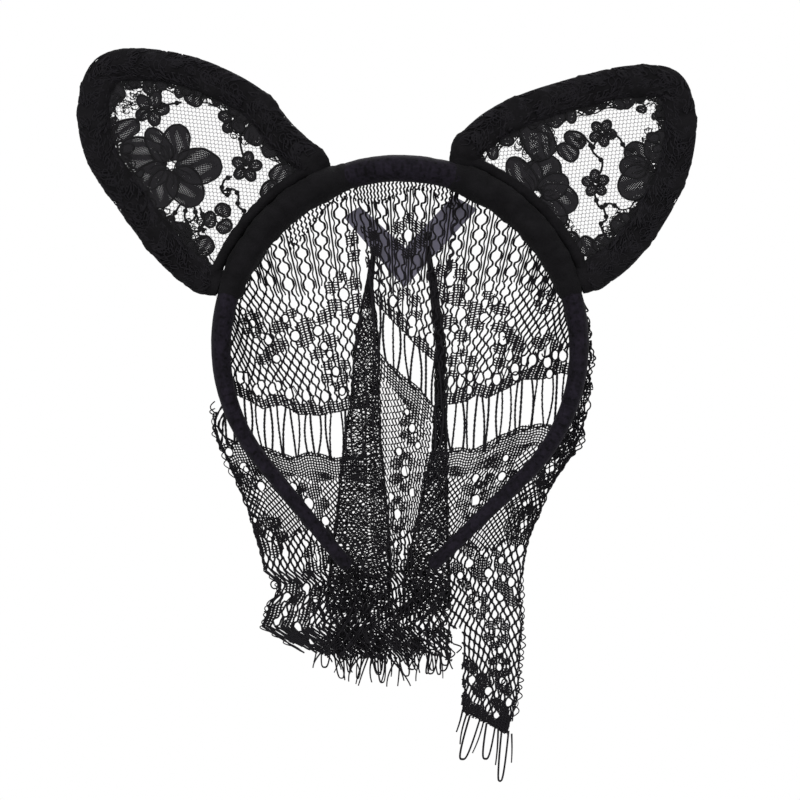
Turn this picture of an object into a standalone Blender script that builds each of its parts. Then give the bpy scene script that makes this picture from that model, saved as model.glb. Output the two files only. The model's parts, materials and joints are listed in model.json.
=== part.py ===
"""Cat-ear headband with a hanging lace veil, at its real size.

Frame: +Z up, +X along the row of ears, the veil on the +Y side of the hoop. The origin is on the
inside of the crown, where the band rests on the head. Sizes below are in millimetres, and MM turns
them into metres.
"""

import math

import bmesh
import bpy
from mathutils import Matrix, Vector

MM = 0.001

# Hoop: a round band whose two arms run straight from the arc to the tips.
HOOP_RADIUS = 66.2
CROWN_THICK, TIP_THICK = 9.6, 5.0
WIDTH_PER_THICK = 1.38
FACET_TURN = math.radians(15)
BAND_SIDES = 12
STRIP_CUTS = 2
CROWN_STEPS = 25
ARM_ARC_STEPS = 8
ARM_STRAIGHT_STEPS = 3
FLEX_ANGLE = 76.0
FLEX_GAP = 1.2
CROWN_END = FLEX_ANGLE - math.degrees(FLEX_GAP / HOOP_RADIUS)
ARC_END_BELOW = {"left": 39.5, "right": 46.0}
TIP_DROP = 78.0
TIP_CAP_LENGTH = 4.0
HALF_BAND_LENGTH = 197.0

# Inside the band: a flat spring strip, foam round it at the crown, and the cloth cover.
STRIP_HALF_THICK = 0.6
STRIP_HALF_WIDTH_CROWN, STRIP_HALF_WIDTH_TIP = 4.0, 2.0
COVER_WALL = 0.8
FIT_GAP = 0.35
MOUTH_DEPTH = 0.05

# Ears: a wire in a padded rim, a lace panel, a bound lower edge and a collar round the band.
EAR_AXIS = 45.5
EAR_RIM_HALF_WIDTH, EAR_RIM_HALF_THICK = 6.0, 3.0
EAR_WIRE_RADIUS, EAR_CHANNEL_RADIUS = 1.0, 1.5
EAR_FOOT_RADIUS = 72.9
EAR_HINGE_RADIUS = 73.9
EAR_BINDING_RADIUS = 1.2
EAR_PANEL_HALF_THICK = 0.5
EAR_COLLAR_WALL = 0.9
EAR_COLLAR_SPAN = (17.5, 73.0)
EAR_STEPS = 34
# Outline as (towards the outer foot, distance from the hoop's centre along the ear's axis).
EAR_OUTLINE = {
    "left": ((39, 70), (40, 86), (37, 108), (32, 131), (20, 147.5), (4, 155),
             (-10, 147.5), (-24, 128), (-32, 104), (-31, 85), (-32, 70)),
    "right": ((37, 69), (38.5, 83), (36, 101), (29.5, 120), (19, 135), (7, 143.5),
              (-4, 143.5), (-16, 132), (-27, 114), (-36, 96), (-40, 83), (-41, 70)),
}

# Veil: two tiers of lace behind the hoop, joined at a line of open threads, with two pleats.
HEADER = {"inner": 63.0, "outer": 69.5, "y": (8.0, 8.6), "half_angle": 72.0}
LACE_Y = (8.9, 10.3)
FOLD_Y = 14.6
VEIL_TOP_RADIUS, VEIL_TOP_ANGLE = 69.0, 74.0
VEIL_HALF_WIDTH = 69.0
VEIL_HINGE_Z = -28.5
VEIL_HINGE_GAP = 1.5
FOLD_HINGE_GAP = 8.5
LOWER_LEFT_EDGE = ((-69, -31), (-61, -49), (-53, -76), (-51, -104), (-31, -115))
LOWER_RIGHT_EDGE = ((20, -117), (22, -139), (40, -143), (43, -123), (43, -81), (53, -57), (65, -33))
FOLDS = {
    "left": {"top": (-9.5, -7.0, 38.0), "bottom": (-22.0, -5.0, -108.0)},
    "right": {"top": (10.0, 13.0, 38.0), "bottom": (3.0, 17.5, -108.0)},
}
FRINGE_LENGTH, TAIL_FRINGE_LENGTH = 11.0, 17.0
FRINGE_TEETH, TAIL_FRINGE_TEETH = 14, 6
RIBBON_Y = (15.0, 15.6)
RIBBON_OUTLINE = ((-24, 51), (-15, 56), (3, 37.5), (20, 58), (30, 52), (2, 22.5))
TACK_SIZE = (8.0, 1.2, 2.0)
TACK_Z = 42.0
TACK_Y = 11.3

FINISHES = {
    "velvet": ((0.012, 0.011, 0.014), 0.85, 0.0),
    "plush": ((0.012, 0.012, 0.012), 0.9, 0.0),
    "lace": ((0.010, 0.009, 0.011), 0.6, 0.0),
    "ribbon": ((0.16, 0.14, 0.21), 0.45, 0.0),
    "foam": ((0.05, 0.05, 0.055), 0.95, 0.0),
    "steel": ((0.55, 0.55, 0.56), 0.35, 1.0),
    "thread": ((0.015, 0.014, 0.016), 0.7, 0.0),
}


def finish(name):
    """The named material, made the first time that it is asked for."""
    if name in bpy.data.materials:
        return bpy.data.materials[name]
    colour, roughness, metallic = FINISHES[name]
    material = bpy.data.materials.new(name)
    material.use_nodes = True
    shader = material.node_tree.nodes["Principled BSDF"]
    shader.inputs["Base Color"].default_value = (*colour, 1.0)
    shader.inputs["Roughness"].default_value = roughness
    shader.inputs["Metallic"].default_value = metallic
    return material


def add_object(name, bm, material):
    """A node from a bmesh in hoop millimetres, with its faces pointing out."""
    bmesh.ops.recalc_face_normals(bm, faces=bm.faces)
    bmesh.ops.translate(bm, vec=(0, 0, HOOP_CENTRE_Z), verts=bm.verts)
    bmesh.ops.scale(bm, vec=(MM, MM, MM), verts=bm.verts)
    mesh = bpy.data.meshes.new(name)
    bm.to_mesh(mesh)
    bm.free()
    mesh.materials.append(finish(material))
    node = bpy.data.objects.new(name, mesh)
    bpy.context.scene.collection.objects.link(node)
    return node


def add_helper(name, bm):
    helper = add_object(name, bm, "thread")
    helper.hide_render = True
    helper.display_type = "WIRE"
    return helper


def frame(centre, outward, along, half_thick, half_width):
    """Carries a unit ring in XY to a band section: X becomes outward, Y stays the hoop's axis."""
    y_axis = Vector((0, 1, 0))
    columns = (outward * half_thick, y_axis * half_width, along, centre)
    rows = [[c[i] for c in columns] for i in range(3)]
    return Matrix((*rows, (0, 0, 0, 1)))


def on_hoop(angle, radius=HOOP_RADIUS):
    """A point of the hoop's plane, at an angle from the crown towards +X, in degrees."""
    a = math.radians(angle)
    return Vector((math.sin(a) * radius, 0, math.cos(a) * radius))


def band_thick(along):
    """Radial thickness at a distance from the crown's middle, measured along the band."""
    share = min(1.0, along / HALF_BAND_LENGTH)
    return TIP_THICK + (CROWN_THICK - TIP_THICK) * (0.5 + 0.5 * math.cos(math.pi * share))


def seat_height():
    """Height above the hoop's centre of the flat facet in the middle of the crown's inner side."""
    half_step = math.radians(CROWN_END / CROWN_STEPS)
    facet = HOOP_RADIUS - band_thick(half_step * HOOP_RADIUS) / 2 * math.cos(FACET_TURN)
    return facet * math.cos(half_step)


HOOP_CENTRE_Z = -seat_height()


def strip_half_width(thick):
    share = (thick - TIP_THICK) / (CROWN_THICK - TIP_THICK)
    return STRIP_HALF_WIDTH_TIP + (STRIP_HALF_WIDTH_CROWN - STRIP_HALF_WIDTH_TIP) * share


def crown_stations(first, last, steps):
    """(centre, outward, along, thickness) along the crown between two angles."""
    made = []
    for i in range(steps + 1):
        angle = first + (last - first) * i / steps
        outward = on_hoop(angle, 1.0)
        along = Vector((outward.z, 0, -outward.x))
        made.append((on_hoop(angle), outward, along, band_thick(abs(math.radians(angle)) * HOOP_RADIUS)))
    return made


def arm_stations(side, start_gap, end_trim=0.0):
    """The same for an arm, from the flex line round the arc and straight on to the tip."""
    sign = -1 if side == "left" else 1
    first = FLEX_ANGLE + math.degrees(start_gap / HOOP_RADIUS)
    last = 90 + ARC_END_BELOW[side]
    made = []
    for i in range(ARM_ARC_STEPS + 1):
        angle = first + (last - first) * i / ARM_ARC_STEPS
        outward = on_hoop(sign * angle, 1.0)
        along = Vector((outward.z, 0, -outward.x)) * sign
        made.append((on_hoop(sign * angle), outward, along, band_thick(math.radians(angle) * HOOP_RADIUS)))
    centre, outward, along, _ = made[-1]
    straight = (centre.z + TIP_DROP) / -along.z - end_trim
    for i in range(1, ARM_STRAIGHT_STEPS + 1):
        run = straight * i / ARM_STRAIGHT_STEPS
        thick = band_thick(math.radians(last) * HOOP_RADIUS + run)
        made.append((centre + along * run, outward, along, thick))
    return made


def sweep(bm, sides, turn, frames, cuts=0):
    """Extrudes a ring through the frames. Returns its first and last loops of edges."""
    start = frames[0] @ Matrix.Rotation(turn, 4, "Z")
    verts = bmesh.ops.create_circle(bm, cap_ends=False, segments=sides, radius=1.0, matrix=start)["verts"]
    first = edges = list({e for v in verts for e in v.link_edges})
    if cuts:
        split = bmesh.ops.subdivide_edges(bm, edges=edges, cuts=cuts)["geom_split"]
        first = edges = [g for g in split if isinstance(g, bmesh.types.BMEdge)]
    for here, there in zip(frames, frames[1:]):
        made = bmesh.ops.extrude_edge_only(bm, edges=edges)["geom"]
        verts = [g for g in made if isinstance(g, bmesh.types.BMVert)]
        fresh = set(verts)
        edges = [g for g in made if isinstance(g, bmesh.types.BMEdge) and set(g.verts) <= fresh]
        bmesh.ops.transform(bm, matrix=there @ here.inverted(), verts=verts)
    return first, edges


def rod(bm, sides, turn, frames):
    """A solid sweep with both ends closed."""
    for loop in sweep(bm, sides, turn, frames):
        bmesh.ops.contextual_create(bm, geom=loop)


def dished(frames):
    """The frames with both ends drawn in a little, so that a sleeve's mouth is a shallow cone."""
    made = list(frames)
    for end, beside in ((0, 1), (-1, -2)):
        inward = (frames[beside].translation - frames[end].translation).normalized()
        made[end] = Matrix.Translation(inward * MOUTH_DEPTH) @ frames[end]
    return made


def sleeve(bm, outer, inner):
    """A hollow sweep, open at both ends, from two (sides, turn, frames) and the inner one's cuts."""
    sides, turn, frames, *cuts = inner
    ends = zip(sweep(bm, *outer), sweep(bm, sides, turn, dished(frames), *cuts))
    for outer_loop, inner_loop in ends:
        bmesh.ops.bridge_loops(bm, edges=outer_loop + inner_loop)


def section_frames(stations, shrink=0.0):
    """Frames of the band's outer section, made smaller all round by shrink."""
    made = []
    for centre, outward, along, thick in stations:
        half_thick, half_width = thick / 2 - shrink, thick * WIDTH_PER_THICK / 2 - shrink
        made.append(frame(centre, outward, along, half_thick, half_width))
    return made


def strip_frames(stations, grow=0.0):
    """Frames of the spring strip: a square ring turned 45 degrees, so its corners are at root 2."""
    root = math.sqrt(2)
    made = []
    for centre, outward, along, thick in stations:
        half_width = strip_half_width(thick) + grow
        made.append(frame(centre, outward, along, (STRIP_HALF_THICK + grow) * root, half_width * root))
    return made


def build_crown():
    stations = crown_stations(-CROWN_END, CROWN_END, CROWN_STEPS)
    quarter = math.radians(45)

    bm = bmesh.new()
    rod(bm, 4, quarter, strip_frames(stations))
    add_object("band_strip_crown", bm, "steel")

    bm = bmesh.new()
    foam_outer = section_frames(stations, COVER_WALL + FIT_GAP)
    sleeve(bm, (BAND_SIDES, FACET_TURN, foam_outer), (4, quarter, strip_frames(stations, FIT_GAP), STRIP_CUTS))
    add_object("band_foam_crown", bm, "foam")

    bm = bmesh.new()
    cover_inner = section_frames(stations, COVER_WALL)
    sleeve(bm, (BAND_SIDES, FACET_TURN, section_frames(stations)), (BAND_SIDES, FACET_TURN, cover_inner))
    add_object("band_cover_crown", bm, "velvet")


def build_arm(side):
    stations = arm_stations(side, FLEX_GAP)
    inner_stations = arm_stations(side, FLEX_GAP, end_trim=FIT_GAP)
    quarter = math.radians(45)

    bm = bmesh.new()
    rod(bm, 4, quarter, strip_frames(inner_stations))
    add_object(f"band_strip_{side}_arm", bm, "steel")

    bm = bmesh.new()
    sleeve(bm, (BAND_SIDES, FACET_TURN, section_frames(stations)), (4, quarter, strip_frames(stations, FIT_GAP), STRIP_CUTS))
    add_object(f"band_cover_{side}_arm", bm, "velvet")

    centre, outward, along, thick = stations[-1]
    domed = []
    for share in (0.0, 0.45, 0.8, 1.0):
        size = thick / 2 * math.sqrt(1 - 0.85 * share**2)
        place = centre + along * (FIT_GAP + TIP_CAP_LENGTH * share)
        domed.append(frame(place, outward, along, size, size * WIDTH_PER_THICK))
    bm = bmesh.new()
    rod(bm, BAND_SIDES, FACET_TURN, domed)
    add_object(f"tip_cap_{side}", bm, "velvet")


def spline(points, steps):
    """Points at even parameter steps on a Catmull-Rom curve through the given points."""
    p = [Vector(q) for q in points]
    p = [2 * p[0] - p[1], *p, 2 * p[-1] - p[-2]]
    spans = len(p) - 3
    made = []
    for i in range(steps + 1):
        at = min(i / steps * spans, spans - 1e-9)
        k, t = int(at), at - int(at)
        a, b, c, d = p[k : k + 4]
        made.append(0.5 * (2 * b + (c - a) * t + (2 * a - 5 * b + 4 * c - d) * t**2
                           + (3 * b - a - 3 * c + d) * t**3))
    return made


class Ear:
    """An ear's own plane: across runs towards its outer foot, up runs away from the hoop's centre."""

    def __init__(self, side):
        self.side = side
        self.sign = -1 if side == "left" else 1
        self.up = on_hoop(self.sign * EAR_AXIS, 1.0)
        self.across = Vector((self.up.z, 0, -self.up.x)) * self.sign
        self.outline = spline(EAR_OUTLINE[side], EAR_STEPS)

    def place(self, across, up, y=0.0):
        return self.across * across + self.up * up + Vector((0, y, 0))

    def inset(self, distance):
        """The outline moved inwards, as (point, outward normal) pairs in the ear's plane."""
        made = []
        for i, point in enumerate(self.outline):
            back, ahead = self.outline[max(i - 1, 0)], self.outline[min(i + 1, len(self.outline) - 1)]
            run = (ahead - back).normalized()
            outward = Vector((-run.y, run.x))
            if outward.dot(point - Vector((0, 100))) < 0:
                outward = -outward
            made.append((point - outward * distance, outward))
        return made

    def window(self, distance):
        """The inset points that keep the whole distance from the outline, so the line never crosses itself."""
        return [p for p, _ in self.inset(distance) if min((p - q).length for q in self.outline) > distance - 0.1]

    def rim_line(self):
        """The rim's middle line, ending square to the band at both feet."""
        line = [(p, n) for p, n in self.inset(EAR_RIM_HALF_WIDTH) if p.length > EAR_FOOT_RADIUS + 3]
        ends = []
        for p, n in (line[0], line[-1]):
            foot = p.normalized() * EAR_FOOT_RADIUS
            sideways = Vector((foot.y, -foot.x)).normalized()
            ends.append((foot, sideways if sideways.dot(n) > 0 else -sideways))
        return [ends[0], *line, ends[1]]

    def rim_frames(self, half_width, half_thick, trim=0.0):
        line = self.rim_line()
        made = []
        for i, (p, n) in enumerate(line):
            outward = self.across * n.x + self.up * n.y
            along = outward.cross(Vector((0, 1, 0)))
            if i in (0, len(line) - 1):
                p = p * (1 + trim / p.length)
            made.append(frame(self.place(p.x, p.y), outward, along, half_width, half_thick))
        return made


def build_ear(side):
    ear = Ear(side)

    bm = bmesh.new()
    rod(bm, 6, 0.0, ear.rim_frames(EAR_WIRE_RADIUS, EAR_WIRE_RADIUS, trim=FIT_GAP))
    add_object(f"{side}_ear_wire", bm, "steel")

    bm = bmesh.new()
    outer = (12, FACET_TURN, ear.rim_frames(EAR_RIM_HALF_WIDTH, EAR_RIM_HALF_THICK))
    inner = (12, FACET_TURN, ear.rim_frames(EAR_CHANNEL_RADIUS, EAR_CHANNEL_RADIUS))
    sleeve(bm, outer, inner)
    add_object(f"{side}_ear_rim", bm, "plush")

    floor = EAR_HINGE_RADIUS + EAR_BINDING_RADIUS + FIT_GAP
    window = [p for p in ear.window(2 * EAR_RIM_HALF_WIDTH + FIT_GAP) if p.length > floor + 2]
    first, last = (math.atan2(p.x, p.y) for p in (window[0], window[-1]))
    steps = 8
    base = [first + (last - first) * i / steps for i in range(steps + 1)]

    bm = bmesh.new()
    ring = [ear.place(p.x, p.y, -EAR_PANEL_HALF_THICK) for p in window]
    ring += [ear.place(math.sin(a) * floor, math.cos(a) * floor, -EAR_PANEL_HALF_THICK) for a in reversed(base)]
    extrude_outline(bm, ring, 2 * EAR_PANEL_HALF_THICK)
    add_object(f"{side}_ear_lace", bm, "lace")

    bm = bmesh.new()
    frames = []
    for a in base:
        outward = ear.across * math.sin(a) + ear.up * math.cos(a)
        along = outward.cross(Vector((0, 1, 0)))
        frames.append(frame(outward * EAR_HINGE_RADIUS, outward, along, EAR_BINDING_RADIUS, EAR_BINDING_RADIUS))
    rod(bm, 8, 0.0, frames)
    add_object(f"{side}_ear_base_binding", bm, "lace")

    first, last = (ear.sign * a for a in EAR_COLLAR_SPAN)
    stations = crown_stations(first, last, 9)
    bm = bmesh.new()
    collar_outer = section_frames(stations, -(FIT_GAP + EAR_COLLAR_WALL))
    collar_inner = section_frames(stations, -FIT_GAP)
    sleeve(bm, (BAND_SIDES, FACET_TURN, collar_outer), (BAND_SIDES, FACET_TURN, collar_inner))
    add_object(f"{side}_ear_collar", bm, "plush")


def extrude_outline(bm, ring, depth):
    """A flat plate: the ring of points in an XZ plane, extruded along +Y."""
    face = bm.faces.new([bm.verts.new(p) for p in ring])
    made = bmesh.ops.extrude_face_region(bm, geom=[face])["geom"]
    verts = [g for g in made if isinstance(g, bmesh.types.BMVert)]
    bmesh.ops.translate(bm, vec=(0, depth, 0), verts=verts)


def plate(name, outline, y_span, material):
    bm = bmesh.new()
    extrude_outline(bm, [Vector((x, y_span[0], z)) for x, z in outline], y_span[1] - y_span[0])
    return add_object(name, bm, material)


def fold_x(fold, z):
    """The left and right side of a pleat at a height."""
    (l0, r0, z0), (l1, r1, z1) = fold["top"], fold["bottom"]
    share = (z0 - z) / (z0 - z1)
    return l0 + (l1 - l0) * share, r0 + (r1 - r0) * share


def join_folds(sheet, z_top, z_bottom):
    """Adds the layered cloth of both pleats to a tier of the veil."""
    for side, fold in FOLDS.items():
        (tl, tr), (bl, br) = fold_x(fold, z_top), fold_x(fold, z_bottom)
        middle = (LACE_Y[0] + LACE_Y[1]) / 2
        bm = bmesh.new()
        ring = [Vector((x, middle, z)) for x, z in ((tl, z_top), (tr, z_top), (br, z_bottom), (bl, z_bottom))]
        extrude_outline(bm, ring, FOLD_Y - middle)
        helper = add_helper(f"{sheet.name}_{side}_pleat", bm)
        union = sheet.modifiers.new(side, "BOOLEAN")
        union.operation = "UNION"
        union.solver = "EXACT"
        union.object = helper


def arc_points(radius, half_angle, steps):
    """(x, z) pairs over the crown from left to right."""
    angles = (-half_angle + 2 * half_angle * i / steps for i in range(steps + 1))
    return [(p.x, p.z) for p in (on_hoop(a, radius) for a in angles)]


def comb(name, first, last, teeth, length, material):
    """A hem strip with a row of lashes hanging from it, as one flat outline."""
    (x0, z0), (x1, z1) = first, last
    strip, thread = 1.0, 0.8
    outline = [(x0, z0), (x1, z1)]
    for i in reversed(range(teeth)):
        share = (i + 0.5) / teeth
        x, z = x0 + (x1 - x0) * share, z0 + (z1 - z0) * share - strip
        reach = length * (0.8 + 0.2 * math.sin(2.4 * i))
        outline += [(x + thread / 2, z), (x + thread / 2, z - reach), (x - thread / 2, z - reach), (x - thread / 2, z)]
    outline.insert(2, (x1, z1 - strip))
    outline.append((x0, z0 - strip))
    return plate(name, outline, LACE_Y, material)


def build_veil():
    header = arc_points(HEADER["outer"], HEADER["half_angle"], 20)
    header += reversed(arc_points(HEADER["inner"], HEADER["half_angle"], 20))
    plate("veil_header_tape", header, HEADER["y"], "lace")

    half = VEIL_HALF_WIDTH
    upper = arc_points(VEIL_TOP_RADIUS, VEIL_TOP_ANGLE, 20)
    low = VEIL_HINGE_Z + VEIL_HINGE_GAP
    upper += [(half, 0), (half, low), (-half, low), (-half, 0)]
    upper_lace = plate("veil_upper_lace", upper, LACE_Y, "lace")
    join_folds(upper_lace, FOLDS["left"]["top"][2], VEIL_HINGE_Z + FOLD_HINGE_GAP)

    high = VEIL_HINGE_Z - VEIL_HINGE_GAP
    lower = [(-half, high), *LOWER_LEFT_EDGE, *LOWER_RIGHT_EDGE, (67, high)]
    lower_lace = plate("veil_lower_lace", lower, LACE_Y, "lace")
    join_folds(lower_lace, VEIL_HINGE_Z - FOLD_HINGE_GAP, FOLDS["left"]["bottom"][2])

    below = FIT_GAP
    comb("veil_fringe", (-30.5, -115 - below), (19, -117 - below), FRINGE_TEETH, FRINGE_LENGTH, "thread")
    comb("tail_fringe", (22.5, -139 - below), (39.5, -143 - below), TAIL_FRINGE_TEETH, TAIL_FRINGE_LENGTH, "thread")
    plate("gather_ribbon", RIBBON_OUTLINE, RIBBON_Y, "ribbon")

    for side, fold in FOLDS.items():
        left, right, _ = fold["top"]
        size = [s * MM for s in TACK_SIZE]
        place = (((left + right) / 2) * MM, TACK_Y * MM, (TACK_Z + HOOP_CENTRE_Z) * MM)
        bpy.ops.mesh.primitive_cube_add(size=1, location=place, scale=size)
        tack = bpy.context.object
        bpy.ops.object.transform_apply(location=False, rotation=False, scale=True)
        tack.name = f"pleat_tack_{side}"
        tack.data.materials.append(finish("thread"))


def set_origin(nodes, point):
    """Puts an empty on a joint's axis and hangs the moving nodes from it."""
    empty = bpy.data.objects.new(nodes[0] + "_axis", None)
    bpy.context.scene.collection.objects.link(empty)
    empty.location = point
    bpy.context.view_layer.update()
    for name in nodes:
        node = bpy.data.objects[name]
        node.parent = empty
        node.matrix_parent_inverse = empty.matrix_world.inverted()


def build_joint_axes():
    down = Vector((0, 0, HOOP_CENTRE_Z))
    for side in ("left", "right"):
        sign = -1 if side == "left" else 1
        flex = (on_hoop(sign * FLEX_ANGLE) + down) * MM
        set_origin([f"band_cover_{side}_arm", f"band_strip_{side}_arm", f"tip_cap_{side}"], flex)
        tilt = (on_hoop(sign * EAR_AXIS, EAR_HINGE_RADIUS) + down) * MM
        set_origin([f"{side}_ear_{piece}" for piece in ("rim", "wire", "lace", "base_binding")], tilt)
    fold = (Vector((0, sum(LACE_Y) / 2, VEIL_HINGE_Z)) + down) * MM
    set_origin(["veil_lower_lace", "veil_fringe", "tail_fringe"], fold)


for old in list(bpy.data.objects):
    bpy.data.objects.remove(old)
build_crown()
for which in ("left", "right"):
    build_arm(which)
    build_ear(which)
build_veil()
build_joint_axes()
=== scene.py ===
"""A black cat-ear headband with lace ear insets and a two-tier eyelash-lace veil."""

import json
import math

import bmesh
import bpy
import numpy as np
from mathutils import Matrix, Vector, noise


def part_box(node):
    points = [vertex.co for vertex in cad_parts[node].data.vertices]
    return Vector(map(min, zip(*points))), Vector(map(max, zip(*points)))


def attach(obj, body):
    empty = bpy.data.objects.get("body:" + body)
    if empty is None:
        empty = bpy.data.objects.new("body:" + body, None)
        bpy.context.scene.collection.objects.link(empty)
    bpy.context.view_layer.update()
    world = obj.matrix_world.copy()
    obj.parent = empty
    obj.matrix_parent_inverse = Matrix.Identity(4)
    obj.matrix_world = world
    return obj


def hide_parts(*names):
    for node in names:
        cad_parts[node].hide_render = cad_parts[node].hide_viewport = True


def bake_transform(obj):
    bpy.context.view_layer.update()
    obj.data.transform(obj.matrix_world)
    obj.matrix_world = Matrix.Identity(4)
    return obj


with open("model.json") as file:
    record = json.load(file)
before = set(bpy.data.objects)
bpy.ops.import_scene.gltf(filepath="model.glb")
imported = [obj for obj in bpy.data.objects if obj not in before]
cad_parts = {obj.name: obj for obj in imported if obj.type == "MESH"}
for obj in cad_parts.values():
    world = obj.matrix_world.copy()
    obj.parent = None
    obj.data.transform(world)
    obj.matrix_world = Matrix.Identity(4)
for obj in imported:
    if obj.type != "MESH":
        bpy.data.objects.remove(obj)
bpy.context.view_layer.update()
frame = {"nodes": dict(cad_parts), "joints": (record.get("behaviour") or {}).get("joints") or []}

MM = 0.001
rng = np.random.default_rng(7)

# ---------------------------------------------------------------- places taken from the frame
JOINTS = {j["name"]: j for j in frame["joints"]}
FLEX_ANGLE = math.radians(76.0)
EAR_ANGLE = math.radians(45.5)
flex = JOINTS["right_arm_flex"]["pos_m"]
HOOP_R = flex[0] / math.sin(FLEX_ANGLE) / MM
HOOP_Z = flex[2] / MM - HOOP_R * math.cos(FLEX_ANGLE)
VEIL_Y = JOINTS["veil_lift"]["pos_m"][1] / MM
SIGN = {"left": -1, "right": 1}
ARM_TIP_Z = {side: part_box(f"tip_cap_{side}")[0].z / MM - HOOP_Z for side in SIGN}

# ---------------------------------------------------------------- sizes, in millimetres
# Places are (x, z) from the hoop's centre unless a comment says more, and y is the same as in the frame.
CROWN_THICK, TIP_THICK = 9.6, 5.0
WIDTH_PER_THICK = 1.38
HALF_BAND = 197.0
BAND_STEP = 0.6
TIP_ROUNDING = 2.6
ARC_END = {"left": 129.5, "right": 136.0}
WRAP_END = 71.0
COLLAR_SPAN = (17.0, 73.5)
COLLAR_PROUD = 1.25

RIM_HALF_WIDTH, RIM_HALF_THICK = 5.9, 3.3
RIM_FOOT = 70.6
EAR_BLEND = (67.0, 80.0)
BASE_ROLL_R, BASE_ROLL_HALF_THICK = 73.5, 2.2
# Each point is (a, b) in the ear's own plane: a runs towards its outer foot, b away from the hoop's centre.
EAR_OUTLINE = {
    "left": ((39, 70), (40, 86), (37, 108), (32, 131), (20, 147.5), (4, 155),
             (-10, 147.5), (-24, 128), (-32, 104), (-31, 85), (-32, 70)),
    "right": ((37, 69), (38.5, 83), (36, 101), (29.5, 120), (19, 135), (7, 143.5),
              (-4, 143.5), (-16, 132), (-27, 114), (-36, 96), (-40, 83), (-41, 70)),
}

LACE_Y, RIBBON_Y = 9.6, 15.6
LACE_TOP_R = 66.5
BLEND_Z = (-18.5, -39.0)
FLEX_BLEND = (73.0, 80.0)
# A panel lies between pleats. Rows are (x, value): the lean of its wales in degrees, the z of the upper
# tier's lower border, and the z of the open bars' feet.
PANELS = {
    "left": {"span": (-66.0, -11.0), "lean": ((-66, -6), (-46, -20), (-30, -17), (-11, -4)),
             "border": (
                 (-66, -16), (-57, -19.5), (-51, -23), (-44, -21.5), (-38, -25), (-30, -25.5),
                 (-20, -23.5), (-10, -22)),
             "foot": (
                 (-70, -36), (-60, -34), (-50, -37.5), (-42, -40.5), (-34, -38.5), (-24, -41), (-10, -39))},
    "centre": {"span": (-10.5, 14.0), "lean": ((-11, -9), (0, 0), (14, 9)),
               "border": ((-11, 19), (-5, 12), (0, 7), (8, -1.5), (14, -6)),
               "foot": ((-11, 1.5), (-5, -5), (0, -9.5), (8, -15.5), (14, -22.5))},
    "right": {"span": (13.0, 66.0), "lean": ((13, 5), (30, 17), (48, 22), (66, 8)),
              "border": (
                  (13, -22), (24, -20.5), (28, -18), (32, -19), (37, -17), (46, -12), (53, -12),
                  (60, -9.5), (66, -11)),
              "foot": (
                  (13, -39), (24, -37), (32, -37.5), (40, -32.5), (48, -29), (56, -28), (64, -30),
                  (73, -34))},
}
LOWER_SPAN = (-69.0, 71.0)
# The lower tier's sides are rows of (z, x), and its bottom is rows of (x, z).
LEFT_EDGE = (
    (-143, -32), (-119, -31), (-114.5, -34), (-108.5, -44), (-104, -51.5), (-100, -49.5), (-96, -48.5),
    (-92, -45.5), (-88, -45), (-83, -50.5), (-75, -52), (-57, -57.7), (-49, -61), (-38, -66), (-30, -69),
    (0, -69))
RIGHT_EDGE = (
    (-143, 40.5), (-130, 43.5), (-103, 45), (-88, 44.5), (-79, 46), (-69, 48.5), (-52, 56), (-40, 63.5),
    (-32, 67.5), (-13, 71.5), (0, 72))
BOTTOM_LINE = (
    (-70, -101), (-52, -104), (-43, -109), (-30, -114), (-10, -116), (0, -117), (8, -113), (12, -115),
    (21.5, -115.5), (22, -135.5), (30, -139), (41, -145))
SLIT_X, SLIT_TOP = (19.5, 23.0), -105.0
# Rows are (z, left x, right x).
PLEATS = {
    "left": ((38, -10, -9), (22, -13, -10.3), (1.5, -16.7, -8), (-20, -18.2, -7.8), (-35, -20.8, -7.3),
             (-69, -24.2, -4.2), (-83, -26, -3.9), (-98, -27, -4)),
    "right": ((38, 9.7, 10.9), (22, 11.3, 13.8), (1.5, 13.6, 16.6), (-20, 13.2, 16.8), (-38, 12.2, 17.3),
              (-69, 5.5, 17.8), (-83, 2.1, 18.2), (-98, 1, 18.5)),
}
RIBBON_V = ((-21, 49), (-15, 53), (2, 37.5), (20, 57), (29, 52), (1.5, 22.5))

# Each net's pitch is from wale to wale, and its repeat from hole to hole down a wale.
NETS = {
    "upper": {"pitch": 1.52, "repeat": 4.9, "radius": 0.35, "second": 0.22, "samples": 9},
    "crown": {"pitch": 0.85, "repeat": 2.2, "radius": 0.35, "samples": 6},
    "lower": {"pitch": 1.85, "repeat": 5.0, "radius": 0.38, "second": 0.24, "samples": 10},
    "lower right": {"pitch": 2.2, "repeat": 5.0, "radius": 0.38, "second": 0.24, "samples": 10},
    "lower mesh": {"pitch": 1.2, "repeat": 2.3, "radius": 0.29, "samples": 6},
    "lower lining": {"pitch": 1.5, "repeat": 3.3, "radius": 0.25},
}
CROWN_OVERLAP = 1.8
HATCH_R, HOLE_RIM_R = 0.25, 0.27
TULLE_CELL, TULLE_REPEAT, TULLE_R = 1.75, 2.2, 0.084

# How much of its rectangle the ear tulle's cut fills.
TULLE_CUT = 0.3


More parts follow.
